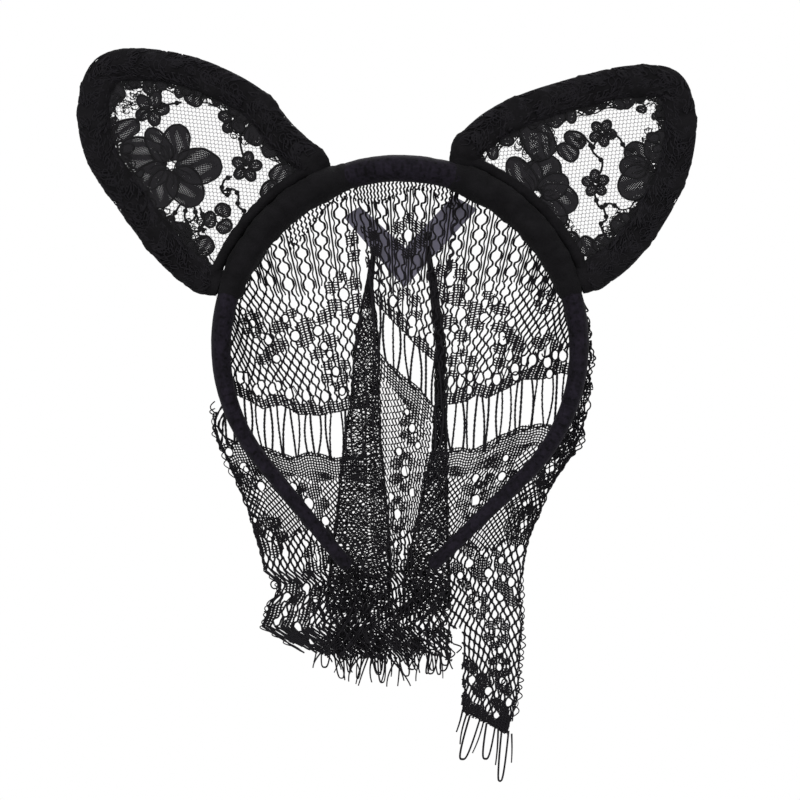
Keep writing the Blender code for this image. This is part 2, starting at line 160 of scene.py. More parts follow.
# ---------------------------------------------------------------- shader maths
class Socket:
    """A shader value that can be added, multiplied and compared."""

    def __init__(self, paint, socket):
        self.paint, self.socket = paint, socket

    def math(self, operation, *others):
        return self.paint.node("ShaderNodeMath", {"operation": operation}, self, *others)

    def __add__(self, other):
        return self.math("ADD", other)

    def __sub__(self, other):
        return self.math("SUBTRACT", other)

    def __rsub__(self, other):
        return self.paint.node("ShaderNodeMath", {"operation": "SUBTRACT"}, other, self)

    def __mul__(self, other):
        return self.math("MULTIPLY", other)

    def __gt__(self, other):
        return self.math("GREATER_THAN", other)

    __radd__, __rmul__ = __add__, __mul__


class Paint:
    """One procedural material, made on a Principled shader."""

    def __init__(self, name, **constants):
        self.material = bpy.data.materials.new(name)
        self.material.use_nodes = True
        self.tree = self.material.node_tree
        self.shader = self.tree.nodes["Principled BSDF"]
        for key, value in constants.items():
            self.shader.inputs[key.replace("_", " ")].default_value = value
        self.where = self.node("ShaderNodeTexCoord", {}, out="Object")

    def node(self, kind, settings, *values, out=0, **named):
        node = self.tree.nodes.new(kind)
        for key, value in settings.items():
            setattr(node, key, value)
        by_name = [(key.replace("_", " "), value) for key, value in named.items()]
        for key, value in [*enumerate(values), *by_name]:
            self.feed(node.inputs[key], value)
        return Socket(self, node.outputs[out])

    def feed(self, target, value):
        if isinstance(value, Socket):
            self.tree.links.new(value.socket, target)
        elif value is not None:
            target.default_value = value

    def noise(self, scale, detail=3.0, where=None):
        return self.node("ShaderNodeTexNoise", {}, Vector=where or self.where, Scale=scale, Detail=detail)

    def colour(self, mask, dark, light):
        return self.node("ShaderNodeMix", {"data_type": "RGBA"}, Factor=mask, A=(*dark, 1), B=(*light, 1),
                         out="Result")

    def bump(self, height, strength, distance):
        return self.node("ShaderNodeBump", {}, Height=height, Strength=strength, Distance=distance,
                         out="Normal")

    def finish(self, **sockets):
        """Feeds the shader's sockets and gives the material."""
        for key, value in sockets.items():
            self.feed(self.shader.inputs[key.replace("_", " ")], value)
        return self.material


def hoop_angle(paint):
    """The angle round the hoop, in radians, and y, which runs from the wearer's front to back."""
    x, y, z = (paint.node("ShaderNodeSeparateXYZ", {}, paint.where, out=axis) for axis in "XYZ")
    return x.math("ARCTAN2", z - HOOP_Z * MM), y


def velvet():
    """Violet-black velvet with rows of tiny pricked dots, as the band is covered in."""
    p = Paint("band_velvet", Sheen_Weight=0.01, Sheen_Roughness=0.5, Specular_IOR_Level=0.07)
    angle, y = hoop_angle(p)
    rows = (angle * 122).math("SINE") * (y * 2600).math("SINE")
    dots = rows > 0.62
    nap = p.noise(900, 5)
    patch = p.noise(240, 3)
    shade = patch * 1.1 + nap * 1.2 - 0.75 - dots * 0.25
    tone = p.colour(shade, (0.0008, 0.0006, 0.0012), (0.0115, 0.0090, 0.0155))
    height = nap * 0.6 + p.noise(3200, 2) * 0.4 - dots * 0.5
    return p.finish(Base_Color=tone, Roughness=0.72 + nap * 0.2, Normal=p.bump(height, 0.5, 0.0003))


def plush():
    """Neutral black lace laid over padding: raised blots on a fine nap."""
    p = Paint("ear_plush", Sheen_Weight=0.01, Sheen_Roughness=0.5, Specular_IOR_Level=0.05)
    blots = p.node("ShaderNodeTexVoronoi", {"feature": "F1"}, Vector=p.where, Scale=330.0)
    nap = p.noise(1100, 6)
    patch = p.noise(150, 3)
    tone = p.colour(patch * 0.9 + nap * 0.5 - 0.2, (0.0008, 0.0007, 0.0009), (0.0078, 0.0073, 0.0084))
    height = (1 - blots) * 0.7 + nap * 0.8 + p.noise(3600, 2) * 0.3
    return p.finish(Base_Color=tone, Roughness=0.78 + nap * 0.18, Normal=p.bump(height, 0.85, 0.0005))


def thread(name, dark, light, roughness):
    """Twisted thread: a fine slanting twist, with a little colour change along it."""
    p = Paint(name, Specular_IOR_Level=0.12)
    twist = p.node("ShaderNodeTexWave", {"bands_direction": "DIAGONAL"}, Vector=p.where, Scale=900.0,
                   Distortion=1.5)
    patch = p.noise(260, 2)
    tone = p.colour(patch, dark, light)
    return p.finish(Base_Color=tone, Roughness=roughness + patch * 0.25, Normal=p.bump(twist, 0.5, 0.00008))


def sheer():
    """Sheer grey-violet ribbon: a fine open weave that lets some light through."""
    p = Paint("sheer_ribbon", Sheen_Weight=0.2, Specular_IOR_Level=0.25)
    across = p.node("ShaderNodeTexWave", {"bands_direction": "X"}, Vector=p.where, Scale=1500.0)
    down = p.node("ShaderNodeTexWave", {"bands_direction": "Z"}, Vector=p.where, Scale=1500.0)
    weave = across * 0.5 + down * 0.5
    patch = p.noise(70, 3)
    tone = p.colour(patch, (0.16, 0.15, 0.215), (0.27, 0.255, 0.35))
    return p.finish(Base_Color=tone, Roughness=0.45 + patch * 0.2, Alpha=0.8 + weave * 0.16,
                    Normal=p.bump(weave, 0.3, 0.0001))


def steel():
    """Bare spring steel with a fine grain."""
    p = Paint("spring_steel", Metallic=1.0)
    grain = p.noise(1400, 2)
    tone = p.colour(grain, (0.42, 0.42, 0.43), (0.62, 0.62, 0.63))
    return p.finish(Base_Color=tone, Roughness=0.25 + grain * 0.25, Normal=p.bump(grain, 0.2, 0.00005))


def foam():
    """Dark open-cell foam."""
    p = Paint("foam")
    cells = p.node("ShaderNodeTexVoronoi", {"feature": "F1"}, Vector=p.where, Scale=1500.0)
    tone = p.colour(cells, (0.03, 0.03, 0.034), (0.075, 0.075, 0.082))
    return p.finish(Base_Color=tone, Roughness=0.85 + cells * 0.1, Normal=p.bump(cells, 0.6, 0.0002))


VELVET, PLUSH, SHEER, STEEL, FOAM = velvet(), plush(), sheer(), steel(), foam()
LACE = thread("black_lace", (0.0025, 0.0023, 0.0030), (0.0080, 0.0070, 0.0095), 0.6)
CORD = thread("lace_cord", (0.0020, 0.0019, 0.0023), (0.0060, 0.0056, 0.0066), 0.55)
FILL = thread("lace_fill", (0.0045, 0.0042, 0.005), (0.0165, 0.0155, 0.018), 0.6)
TULLE = thread("ear_tulle", (0.06, 0.059, 0.063), (0.13, 0.127, 0.135), 0.55)
SEWING = thread("black_thread", (0.004, 0.0038, 0.0047), (0.012, 0.011, 0.0135), 0.5)


# ---------------------------------------------------------------- making pieces
def in_frame(points):
    """Points in hoop millimetres, as metres in the frame."""
    return (np.asarray(points, float) + (0, 0, HOOP_Z)) * MM


def on_hoop(angle, radius=HOOP_R, y=0.0):
    """The point at an angle from the crown's top, in radians, positive to the right."""
    return np.stack([radius * np.sin(angle), y + 0 * np.sin(angle), radius * np.cos(angle)], axis=-1)


def finished(name, mesh, material):
    """The mesh as a smooth object of one material, in the scene."""
    mesh.name = name
    mesh.materials.clear()
    mesh.materials.append(material)
    mesh.shade_smooth()
    made = bpy.data.objects.new(name, mesh)
    bpy.context.scene.collection.objects.link(made)
    return made


def tubes(name, lines, resolution):
    """A mesh of round tubes along (points, radii) lines in hoop millimetres."""
    curve = bpy.data.curves.new(name, "CURVE")
    curve.dimensions = "3D"
    curve.bevel_depth = MM
    curve.bevel_resolution = resolution
    curve.use_fill_caps = True
    for points, radii in lines:
        spline = curve.splines.new("POLY")
        spline.points.add(len(points) - 1)
        spline.points.foreach_set("co", np.column_stack([in_frame(points), np.ones(len(points))]).ravel())
        spline.points.foreach_set("radius", np.array(np.broadcast_to(radii, len(points)), float))
    holder = bpy.data.objects.new(name, curve)
    mesh = bpy.data.meshes.new_from_object(holder)
    bpy.data.objects.remove(holder)
    bpy.data.curves.remove(curve)
    return mesh


class Threads:
    """Thread lines that are gathered first, and then made into one piece."""

    def __init__(self):
        self.lines = []

    def add(self, points, radius):
        points = np.asarray(points, float)
        if len(points) > 1:
            self.lines.append((points, radius))

    def run(self, x, y, z, radius):
        self.add(np.stack([x, y, z], axis=-1), radius)

    def make(self, name, material, resolution=0):
        return finished(name, tubes(name, self.lines, resolution), material)


def padded_tube(name, path, radii, material, depth, lumps, resolution=13):
    """A stuffed or wrapped tube. depth is how thick it is front to back beside its width, and lumps are
    (size, height) in millimetres.
    """
    mesh = tubes(name, [(path, radii)], resolution)
    bm = bmesh.new()
    bm.from_mesh(mesh)
    bmesh.ops.scale(bm, vec=(1, depth, 1), verts=bm.verts)
    bmesh.ops.recalc_face_normals(bm, faces=bm.faces)
    bm.normal_update()
    for v in bm.verts:
        v.co += v.normal * sum(height * noise.noise(v.co / (size * MM)) for size, height in lumps) * MM
    bm.to_mesh(mesh)
    bm.free()
    return finished(name, mesh, material)


def resample(points, step):
    """Points at even steps along a line."""
    points = np.asarray(points, float)
    along = np.concatenate([[0], np.cumsum(np.linalg.norm(np.diff(points, axis=0), axis=1))])
    at = np.linspace(0, along[-1], max(2, int(along[-1] / step)))
    return np.stack([np.interp(at, along, points[:, i]) for i in range(points.shape[1])], axis=-1)


def smooth_line(points, per_span=8):
    """A Catmull-Rom curve through the points."""
    p = np.asarray(points, float)
    p = np.vstack([2 * p[0] - p[1], p, 2 * p[-1] - p[-2]])
    t = np.linspace(0, 1, per_span, endpoint=False)[:, None]
    spans = [0.5 * (2 * b + (c - a) * t + (2 * a - 5 * b + 4 * c - d) * t**2
                    + (3 * b - a - 3 * c + d) * t**3)
             for a, b, c, d in zip(p, p[1:], p[2:], p[3:])]
    return np.vstack([*spans, p[-2:-1]])


def table(rows, at):
    """The value at a place in rows of (place, value)."""
    rows = np.asarray(rows, float)
    return np.interp(at, rows[:, 0], rows[:, 1])


def runs(mask):
    """(first, last + 1) of each stretch of two or more points where mask is true."""
    edges = np.flatnonzero(np.diff(np.concatenate([[0], mask.astype(np.int8), [0]])))
    return [(a, b) for a, b in zip(edges[::2], edges[1::2]) if b - a > 1]


def soften(values, width):
    """The running mean over an odd number of values."""
    padded = np.pad(values, width // 2, mode="edge")
    return np.convolve(padded, np.ones(width) / width, mode="valid")


def unevenness(u, v, seed):
    """A smooth, repeatable value from about -1 to 1."""
    return (0.5 * np.sin(0.31 * u + 0.17 * v + seed)
            + 0.35 * np.sin(0.13 * u - 0.23 * v + 2.1 * seed)
            + 0.25 * np.sin(0.67 * u + 0.09 * v + 3.7 * seed))


# ---------------------------------------------------------------- lace
class Ovals:
    """Ovals in a lace pattern, each (x, z, half width, half height, turn in degrees)."""

    def __init__(self, rows):
        o = np.array(rows, float).reshape(-1, 5)
        self.x, self.z, self.a, self.b = o[:, 0], o[:, 1], o[:, 2], o[:, 3]
        self.c, self.s = np.cos(np.radians(o[:, 4])), np.sin(np.radians(o[:, 4]))

    def local(self, x, z):
        dx, dz = np.asarray(x)[..., None] - self.x, np.asarray(z)[..., None] - self.z
        return (dx * self.c + dz * self.s) / self.a, (dz * self.c - dx * self.s) / self.b

    def hold(self, x, z, grow=1.0):
        if not len(self.x):
            return np.zeros(np.shape(x), bool)
        p, q = self.local(x, z)
        return (p * p + q * q < grow * grow).any(-1)

    def outlines(self, steps=14):
        t = np.linspace(0, 2 * np.pi, steps + 1)
        for x, z, a, b, c, s in zip(self.x, self.z, self.a, self.b, self.c, self.s):
            p, q = a * np.cos(t), b * np.sin(t)
            yield x + p * c - q * s, z + p * s + q * c

    def part(self, x, z):
        """Moves the points that lie in an oval to its edge, as threads part round a hole."""
        for i in range(len(self.x)):
            dx, dz = x - self.x[i], z - self.z[i]
            p = (dx * self.c[i] + dz * self.s[i]) / self.a[i]
            q = (dz * self.c[i] - dx * self.s[i]) / self.b[i]
            far = np.maximum(np.hypot(p, q), 1e-3)
            inside = far < 1
            push = np.where(inside, 1 / far, 1)
            p, q = p * push * self.a[i], q * push * self.b[i]
            x = np.where(inside, self.x[i] + p * self.c[i] - q * self.s[i], x)
            z = np.where(inside, self.z[i] + p * self.s[i] + q * self.c[i], z)
        return x, z


def oval_opening(u, v, repeat, column):
    """How far the two wales round a column of ovals part, from 0 to 1.1."""
    phase = 2 * np.pi * v / repeat + 2.2 * (column % 3) + 0.8 * unevenness(0.2 * u, v, 2.7)
    return np.clip(0.8 * np.sin(phase) + 0.62, 0, 1.1) ** 0.75


class Lace:
    """A piece of lace: spot(u, v) gives a pattern point's place and depth(x, z) how far back it hangs.

    Threads run along v in wales. Two neighbours run side by side, part round a hole and meet the next
    ones. Solid parts are filled both ways with a close hatch, and holes push the threads aside.
    """

    def __init__(self, spot, depth, span, length, solid=(), holes=(), inside=None, solid_too=None):
        self.spot, self.depth, self.span, self.length = spot, depth, span, length
        self.solid, self.holes = Ovals(solid), Ovals(holes)
        self.inside = inside or (lambda x, z: np.ones(np.shape(x), bool))
        self.solid_too = solid_too or (lambda x, z: np.zeros(np.shape(x), bool))

    def is_solid(self, x, z, grow=1.0):
        return self.solid.hold(x, z, grow) | self.solid_too(x, z)

    def lay(self, threads, x, z, keep, radius, lift=0.0):
        y = self.depth(x, z) + lift
        for a, b in runs(keep & self.inside(x, z)):
            threads.run(x[a:b], y[a:b], z[a:b], radius)

    def net(self, threads, pitch, repeat, radius, where=None, samples=8, second=0.0, strips=None):
        """Wales of a net. second is the radius of a companion thread that makes each line double.

        strips(x, z), from 0 to 1, says where only two wales in three part, round columns of larger
        ovals. The third runs straight between them, with a thinner thread on each side that follows them.
        """
        for i, u0 in enumerate(np.arange(self.span[0] + pitch / 2, self.span[1], pitch)):
            v = np.arange(0, self.length(u0), repeat / samples)
            if len(v) < 4:
                continue
            x, z = self.spot(np.full(len(v), u0), v)
            calm = soften(self.is_solid(x, z).astype(float), 5)
            phase = 2 * np.pi * v / repeat + np.pi * (i % 2) + 0.8 * unevenness(0.25 * u0, 0.6 * v, 1.3)
            lean = np.sin(phase)
            wave = np.sign(lean) * np.abs(lean) ** 0.65
            strands = [(radius, 1.0, 0)]
            if second:
                strands.append((second, 0.5, 0))
            if strips:
                column, kind = divmod(i, 3)
                opened = oval_opening(u0, v, 1.2 * repeat, column)
                parted = (1, -1, 0)[kind] * (0.95 - 1.9 * opened)
                stripped = strips(x, z)
                wave = (1 - stripped) * wave + stripped * parted
                if kind == 2:
                    for side in (-1, 1):
                        opened = oval_opening(u0, v, 1.2 * repeat, column + (side > 0))
                        strands.append((0.8 * radius, 0.3, 0.6 * side * (1.5 - 0.5 * opened)))
            wave = wave * (1 - calm)
            for size, share, aside in strands:
                x, z = self.spot(u0 + aside + wave * share * (pitch / 2 - size * 0.8), v)
                keep = np.ones(len(v), bool) if where is None else where(u0, v, x, z)
                if np.any(aside):
                    keep = keep & (strips(x, z) > 0.6)
                x, z = self.holes.part(x, z)
                self.lay(threads, x, z, keep, size)

    def roomy(self, x, z, neighbour, least):
        """Where a thread runs at least that far from its neighbour."""
        run_x, run_z = np.gradient(x), np.gradient(z)
        aside = (neighbour[0] - x) * run_z - (neighbour[1] - z) * run_x
        return np.abs(aside) > least * np.hypot(run_x, run_z)

    def hatch(self, threads, down, across, radius):
        """Close threads both ways over the solid parts, every other one left out where they crowd."""
        for i, u0 in enumerate(np.arange(self.span[0], self.span[1], down)):
            v = np.arange(0, self.length(u0), 0.6)
            if len(v) < 2:
                continue
            u = u0 + 0.12 * np.sin(2.1 * v)
            x, z = self.spot(u, v)
            keep = self.is_solid(x, z) & ~self.holes.hold(x, z)
            if i % 2:
                keep &= self.roomy(x, z, self.spot(u + down, v), 0.7 * down)
            self.lay(threads, x, z, keep, radius)
        u = np.arange(self.span[0], self.span[1], 0.6)
        reach = np.array([self.length(u0) for u0 in u])
        for i, v0 in enumerate(np.arange(across / 2, reach.max(), across)):
            v = v0 + 0.25 * np.sin(0.9 * u)
            x, z = self.spot(u, v)
            keep = self.is_solid(x, z) & ~self.holes.hold(x, z) & (v < reach)
            if i % 2:
                keep &= self.roomy(x, z, self.spot(u, v + across), 0.7 * across)
            self.lay(threads, x, z, keep, radius, lift=-0.2)

    def rims(self, threads, radius):
        """A thread round each hole, where it borders a solid part."""
        for x, z in self.holes.outlines():
            self.lay(threads, x, z, self.is_solid(x, z, 1.12), radius, lift=-0.15)


def placed(motif, x, z, turn=0.0, size=1.0, flip=1):
    """A motif's ovals, moved, turned, sized and mirrored into a lace."""
    c, s = math.cos(math.radians(turn)), math.sin(math.radians(turn))
    return [(x + size * (flip * dx * c - dz * s), z + size * (flip * dx * s + dz * c), a * size, b * size,
             turn + flip * tilt) for dx, dz, a, b, tilt in motif]


BRICKS = (
    (-6.5, -3.3, 4.0, 2.3, 15), (-4.6, 3.7, 3.8, 2.3, 20), (3.5, 3.2, 3.4, 2.3, 20),
    (3.4, -1.8, 3.4, 2.2, 20), (10.6, 5.8, 3.4, 2.3, 20), (11.6, -2.4, 3.0, 2.5, 20),
    (-11.2, -7.0, 3.0, 1.9, 20), (7.4, -6.5, 3.0, 2.0, 20), (-1.0, 7.6, 2.6, 1.6, 20))
BRICK_HOLES = (
    (0, 0, 1.75, 1.9, 0), (-9.1, -0.6, 1.5, 1.9, 0), (7.8, 1.2, 1.7, 1.8, 0), (-6.9, -7.3, 1.5, 1.5, 0),
    (9.7, -4.2, 1.4, 1.5, 0), (-3.0, 6.0, 1.3, 1.5, 0))
POSY = (
    (-3.2, 2.4, 2.2, 2.0, 15), (3.2, 2.6, 2.2, 2.0, 15), (-3.2, -2.6, 2.2, 2.0, 15),
    (3.4, -2.2, 2.2, 2.0, 15), (0.2, -5.4, 2.3, 1.7, 15), (0, 5.2, 2.0, 1.5, 15))
POSY_HOLES = ((0, 0, 1.5, 2.0, 0), (-2.2, 6.6, 1.2, 1.5, 0), (2.4, -7.2, 1.3, 1.6, 0))


def motif_set(bricks, posies):
    """The solid ovals and the holes of brick flowers and posies, each (x, z, turn, size, flip)."""
    solid, holes = [], []
    for places, shape, gaps in ((bricks, BRICKS, BRICK_HOLES), (posies, POSY, POSY_HOLES)):
        for place in places:
            solid += [(x, z, 1.1 * a, 1.1 * b, turn) for x, z, a, b, turn in placed(shape, *place)]
            holes += placed(gaps, *place)
    return solid, holes


def veil_depth(x, z):
    """How far behind the hoop the veil hangs, with soft waves that grow downwards."""
    low = np.clip((40 - z) / 120, 0, 1.3)
    return LACE_Y + low * (0.9 * np.sin(0.16 * x + 0.02 * z) + 0.6 * np.sin(0.05 * z - 0.09 * x + 1))


# ---------------------------------------------------------------- the veil's upper tier
def upper_spot(panel, u, v):
    """Wales run up from the border and fan away from the pleats."""
    angle = np.radians(table(panel["lean"], u))
    return u + v * np.sin(angle), table(panel["border"], u) + v * np.cos(angle)


def upper_length(panel, u):
    """How far a wale runs from the border before it goes under the band."""
    angle = math.radians(table(panel["lean"], u))
    x, z = u, table(panel["border"], u)
    ahead = x * math.sin(angle) + z * math.cos(angle)
    inside = ahead * ahead - (x * x + z * z - LACE_TOP_R**2)
    return max(0.0, -ahead + math.sqrt(inside)) if inside > 0 else 0.0


BORDER_HEIGHT = 5.0
BORDER_OVALS = 6.3


def border_holes(panel):
    """A row of large ovals just above the border, and smaller ones between them."""
    made = []
    for i, u in enumerate(np.arange(panel["span"][0] + 2, panel["span"][1] - 1, BORDER_OVALS)):
        for shift, rise, a, b in ((0, 2.4, 1.7, 2.3), (0.42 * BORDER_OVALS, 4.2, 1.3, 1.9)):
            x, z = upper_spot(panel, u + shift, BORDER_HEIGHT + rise + 0.7 * math.sin(1.7 * i))
            made.append((x, z, a, b, 0))
    return made


def build_upper():
    """The net and the motifs of the tier under the crown, panel by panel."""
    net, motifs = Threads(), Threads()
    for panel in PANELS.values():
        solid, holes = motif_set(
            bricks=((-39.1, 4.4, 4, 1.1, 1), (31.5, 11.0, -4, 1.1, -1)),
            posies=(
                (-20.9, 19.8, 8, 1.3, 1), (40.5, -2.8, 0, 1.1, 1), (23.0, -7.8, 0, 1.1, 1),
                (54.5, -1.5, -10, 1.1, 1), (3.2, 41.8, 0, 1.25, 1), (54.0, 17.0, -25, 0.7, 1),
                (-55.0, 9.0, 20, 0.8, 1), (-14.0, 38.0, 12, 1.2, 1), (18.5, 25.0, -8, 1.2, -1),
                (1.5, 14.5, 0, 1.2, 1), (-24.0, -9.0, 0, 1, 1)))
        holes += border_holes(panel)

        def border(x, z):
            return z < table(panel["border"], x) + BORDER_HEIGHT + 0.9 * np.sin(0.9 * x)

        def fine(u, v, x, z, inset=0.0):
            """Where the close net under the crown lies."""
            return ((np.hypot(x, z) > 56.5 + inset + 2.5 * np.sin(0.2 * x))
                    & (x > inset - 42) & (x < 20 - inset) & (z > 20))

        lace = Lace(lambda u, v: upper_spot(panel, u, v), veil_depth, panel["span"],
                    lambda u: upper_length(panel, u), solid, holes, solid_too=border)
        lace.net(net, **NETS["upper"], where=lambda u, v, x, z: ~fine(u, v, x, z, CROWN_OVERLAP),
                 strips=lambda x, z: np.clip((z - 19 - 3 * np.sin(0.2 * x)) / 4, 0, 1))
        lace.net(net, **NETS["crown"], where=fine)
        lace.hatch(motifs, 1.05, 0.95, HATCH_R)
        lace.rims(motifs, HOLE_RIM_R)
    return net, motifs


# ---------------------------------------------------------------- the open bars between the tiers
def build_ladder():
    """Long twisted threads that hang from the border's scallops and join in small arcs at their feet."""
    bars = Threads()
    for panel in PANELS.values():
        group = []
        for i, x in enumerate(np.arange(panel["span"][0], panel["span"][1] + 1.5, 2.55)):
            top_x, foot_x = x + 0.6 * math.sin(2.3 * i), x + 1.1 * math.sin(1.1 * i + x) - 0.02 * x
            top, foot = table(panel["border"], x) + 0.6, table(panel["foot"], x) - 0.4
            t = np.linspace(0, 1, 22)
            bow = 0.7 * math.sin(1.9 * i + 0.4)
            z = top + (foot - top) * t
            xs = top_x + (foot_x - top_x) * t**1.5 + bow * np.sin(np.pi * t)
            y = veil_depth(xs, z) - 0.2 + 0.8 * np.sin(np.pi * t) * math.sin(3.1 * i)
            bead = 0.43 + 0.09 * np.sin(2 * np.pi * t * 11)
            bars.run(xs, y, z, bead)
            bars.run(xs + 0.3 * np.sin(t * 42 + i), y + 0.3 * np.cos(t * 42 + i), z, 0.22)
            group.append((foot_x, foot))
        for (x0, z0), (x1, z1) in zip(group, group[1:]):
            t = np.linspace(0, 1, 9)
            x, z = x0 + (x1 - x0) * t, z0 + (z1 - z0) * t - 1.1 * np.sin(np.pi * t)
            bars.run(x, veil_depth(x, z), z, 0.3)
    return bars


# ---------------------------------------------------------------- the veil's lower tier
def lower_spot(panel, u, v):
    """Wales hang between the tier's two edges, closer together where it is narrow."""
    share = (u - LOWER_SPAN[0]) / (LOWER_SPAN[1] - LOWER_SPAN[0])
    z = table(panel["foot"], u) - v
    x = (1 - share) * table(LEFT_EDGE, z) + share * table(RIGHT_EDGE, z)
    return x, z


def lower_length(panel, u):
    """How far a wale hangs before it reaches the bottom."""
    v = np.arange(0, 150, 0.5)
    x, z = lower_spot(panel, np.full(len(v), u), v)
    return v[np.argmax(z < table(BOTTOM_LINE, x))]


def lower_inside(x, z):
    """Outside the slit between the hem and the tail."""
    return ~((x > SLIT_X[0]) & (x < SLIT_X[1]) & (z < SLIT_TOP))


def build_lower():
    """The net, the fine mesh and the motifs of the tier below the open bars."""
    net, mesh, motifs = Threads(), Threads(), Threads()
    solid, holes = motif_set(
        bricks=((-42.0, -93.0, 20, 1, 1), (33.0, -84.0, -18, 1, -1), (33.0, -128.0, -25, 0.95, -1)),
        posies=(
            (-34.0, -58.0, 25, 1.2, 1), (-58.0, -45.0, 25, 1.2, 1), (-49.0, -70.0, 25, 1.2, 1),
            (28.0, -57.0, -20, 1.2, 1), (2.0, -46.0, 0, 1.1, 1), (4.5, -30.0, 0, 0.9, 1),
            (-1.0, -62.0, 0, 1, 1), (56.0, -45.0, -25, 1.2, 1), (46.0, -66.0, -25, 1.2, 1),
            (36.0, -106.0, -10, 0.9, 1), (0.5, -78.0, 0, 0.8, 1), (-31.0, -78.0, 20, 0.9, 1),
            (64.0, -30.0, -20, 1.1, 1), (-38.0, -104.0, 25, 1, 1), (38.0, -48.0, -30, 1, 1),
            (29.0, -96.0, 10, 0.8, 1), (37.0, -119.0, 0, 0.8, 1)))
    band_height, overlap = 9.5, 2.5

    def above_ovals(x, z):
        """How far a point lies above the line where the fine mesh gives way to the net of ovals."""
        return z + 72 - 4 * np.sin(0.15 * x) - 6 * (np.abs(x) > 44)

    def fine(u, v, x, z):
        """Where the fine mesh hangs, from just inside the close band under the bars."""
        return (v > band_height - overlap) & (above_ovals(x, z) > 0)

    def folded(u, v, x, z):
        """Where the sides hang in two layers."""
        right = (x > table(RIGHT_EDGE, z) - 12 - 3 * np.sin(0.2 * z)) & (z > -72)
        left = (x < table(LEFT_EDGE, z) + 8 + 3 * np.sin(0.25 * z)) & (z < -44) & (z > -72)
        return right | left

    def tail_border(x, z):
        return (x > 22) & (z < table(BOTTOM_LINE, x) + 5.5 + 0.8 * np.sin(0.9 * x))

    for name, panel in PANELS.items():
        first, last = panel["span"]
        span = (first - 3 * (name == "left"), LOWER_SPAN[1] if name == "right" else last)

        def bordered(x, z):
            return tail_border(x, z) | (z > table(panel["foot"], x) - band_height - 1.5 * np.sin(0.35 * x))

        lace = Lace(lambda u, v: lower_spot(panel, u, v), veil_depth, span,
                    lambda u: lower_length(panel, u), solid, holes, inside=lower_inside, solid_too=bordered)
        lace.net(net, **NETS["lower right" if name == "right" else "lower"],
                 where=lambda u, v, x, z: (v > band_height) & (above_ovals(x, z) < overlap))
        lace.net(mesh, **NETS["lower mesh"], where=fine)
        lace.hatch(motifs, 1.1, 0.98, HATCH_R)
        lace.rims(motifs, HOLE_RIM_R)
        lining = Lace(lace.spot, lambda x, z: veil_depth(x, z) + 1.4, span, lace.length,
                      inside=lower_inside)
        lining.net(net, **NETS["lower lining"], where=folded)
    return net, mesh, motifs


LEFT_LOOPS = (
    ((-65, -20), (-68.6, -26), (-68.6, -32), (-66.8, -38)),
    ((-63.6, -21), (-65.8, -27), (-66.2, -32), (-66.8, -38)),
    ((-64.8, -22), (-62, -28), (-60.5, -35)),
    ((-68.4, -29), (-65.5, -33), (-61, -35.5)),
    ((-65, -23.5), (-67.6, -29), (-64.2, -35), (-62, -38)),
)


def build_returns():
    """The veil's right side, which comes round outside the band in folds, and the left side's loops."""
    returns = Threads()
    for number in range(3):
        lean = 0.06 * (number - 1)

        def spot(u, v):
            z = 19.0 - v
            top = 72.2 - 0.1 * z - 0.06 * np.clip(z - 11, 0, 9) ** 2
            edge = np.where(z > 0, top, table(RIGHT_EDGE, z))
            return edge - u - 0.5 + lean * v * np.sin(0.2 * v) + 0.4 * np.sin(0.6 * v + u), z

        patches = [(68 + 3 * math.sin(2.1 * k + number), 16 - 5.2 * k, 3.0, 1.5, 70) for k in range(11)]
        fold = Lace(spot, lambda x, z: veil_depth(x, z) - 0.6 + 0.9 * number, (0, 11), lambda u: 60.0,
                    patches, inside=lambda x, z: np.hypot(x, z) > 67)
        fold.net(returns, 1.15 + 0.25 * number, 2.6 + 1.3 * number, 0.27)
        fold.hatch(returns, 0.95, 1.0, 0.24)
    for loop in LEFT_LOOPS:
        x, z = smooth_line(loop).T
        for aside in (-0.25, 0.25):
            returns.run(x + aside * np.cos(z), veil_depth(x, z) + aside * np.sin(z), z, 0.28)
    return returns


def build_edges():
    """The tier's thick side edges, and the small loops of thread that stand out of them."""
    edges = Threads()
    for rows, sign, low in ((LEFT_EDGE, -1, -114), (RIGHT_EDGE, 1, -140)):
        z = np.arange(-24.0, low, -0.8)
        for strand in range(3):
            turn = 1.3 * z + 2 * strand
            x = table(rows, z) + 0.35 * np.sin(turn) + 0.5 * unevenness(z, 0 * z, strand + 1.0)
            y = veil_depth(x, z) + 0.4 * np.cos(turn)
            edges.run(x, y, z, 0.3)
        for i, at in enumerate(np.arange(-20.0, low + 4, -2.7)):
            if -84 < at < (-46 if sign < 0 else 0):
                continue
            out, tall = 0.9 + rng.uniform(0, 1.3), rng.uniform(1.8, 4.6)
            t = np.linspace(0, 1, 12)
            zs = at - tall * t
            x = table(rows, zs) + sign * out * np.sin(np.pi * t)
            y = veil_depth(x, zs) + math.sin(4.1 * i) * np.sin(np.pi * t)
            edges.run(x, y, zs, 0.23)
    return edges


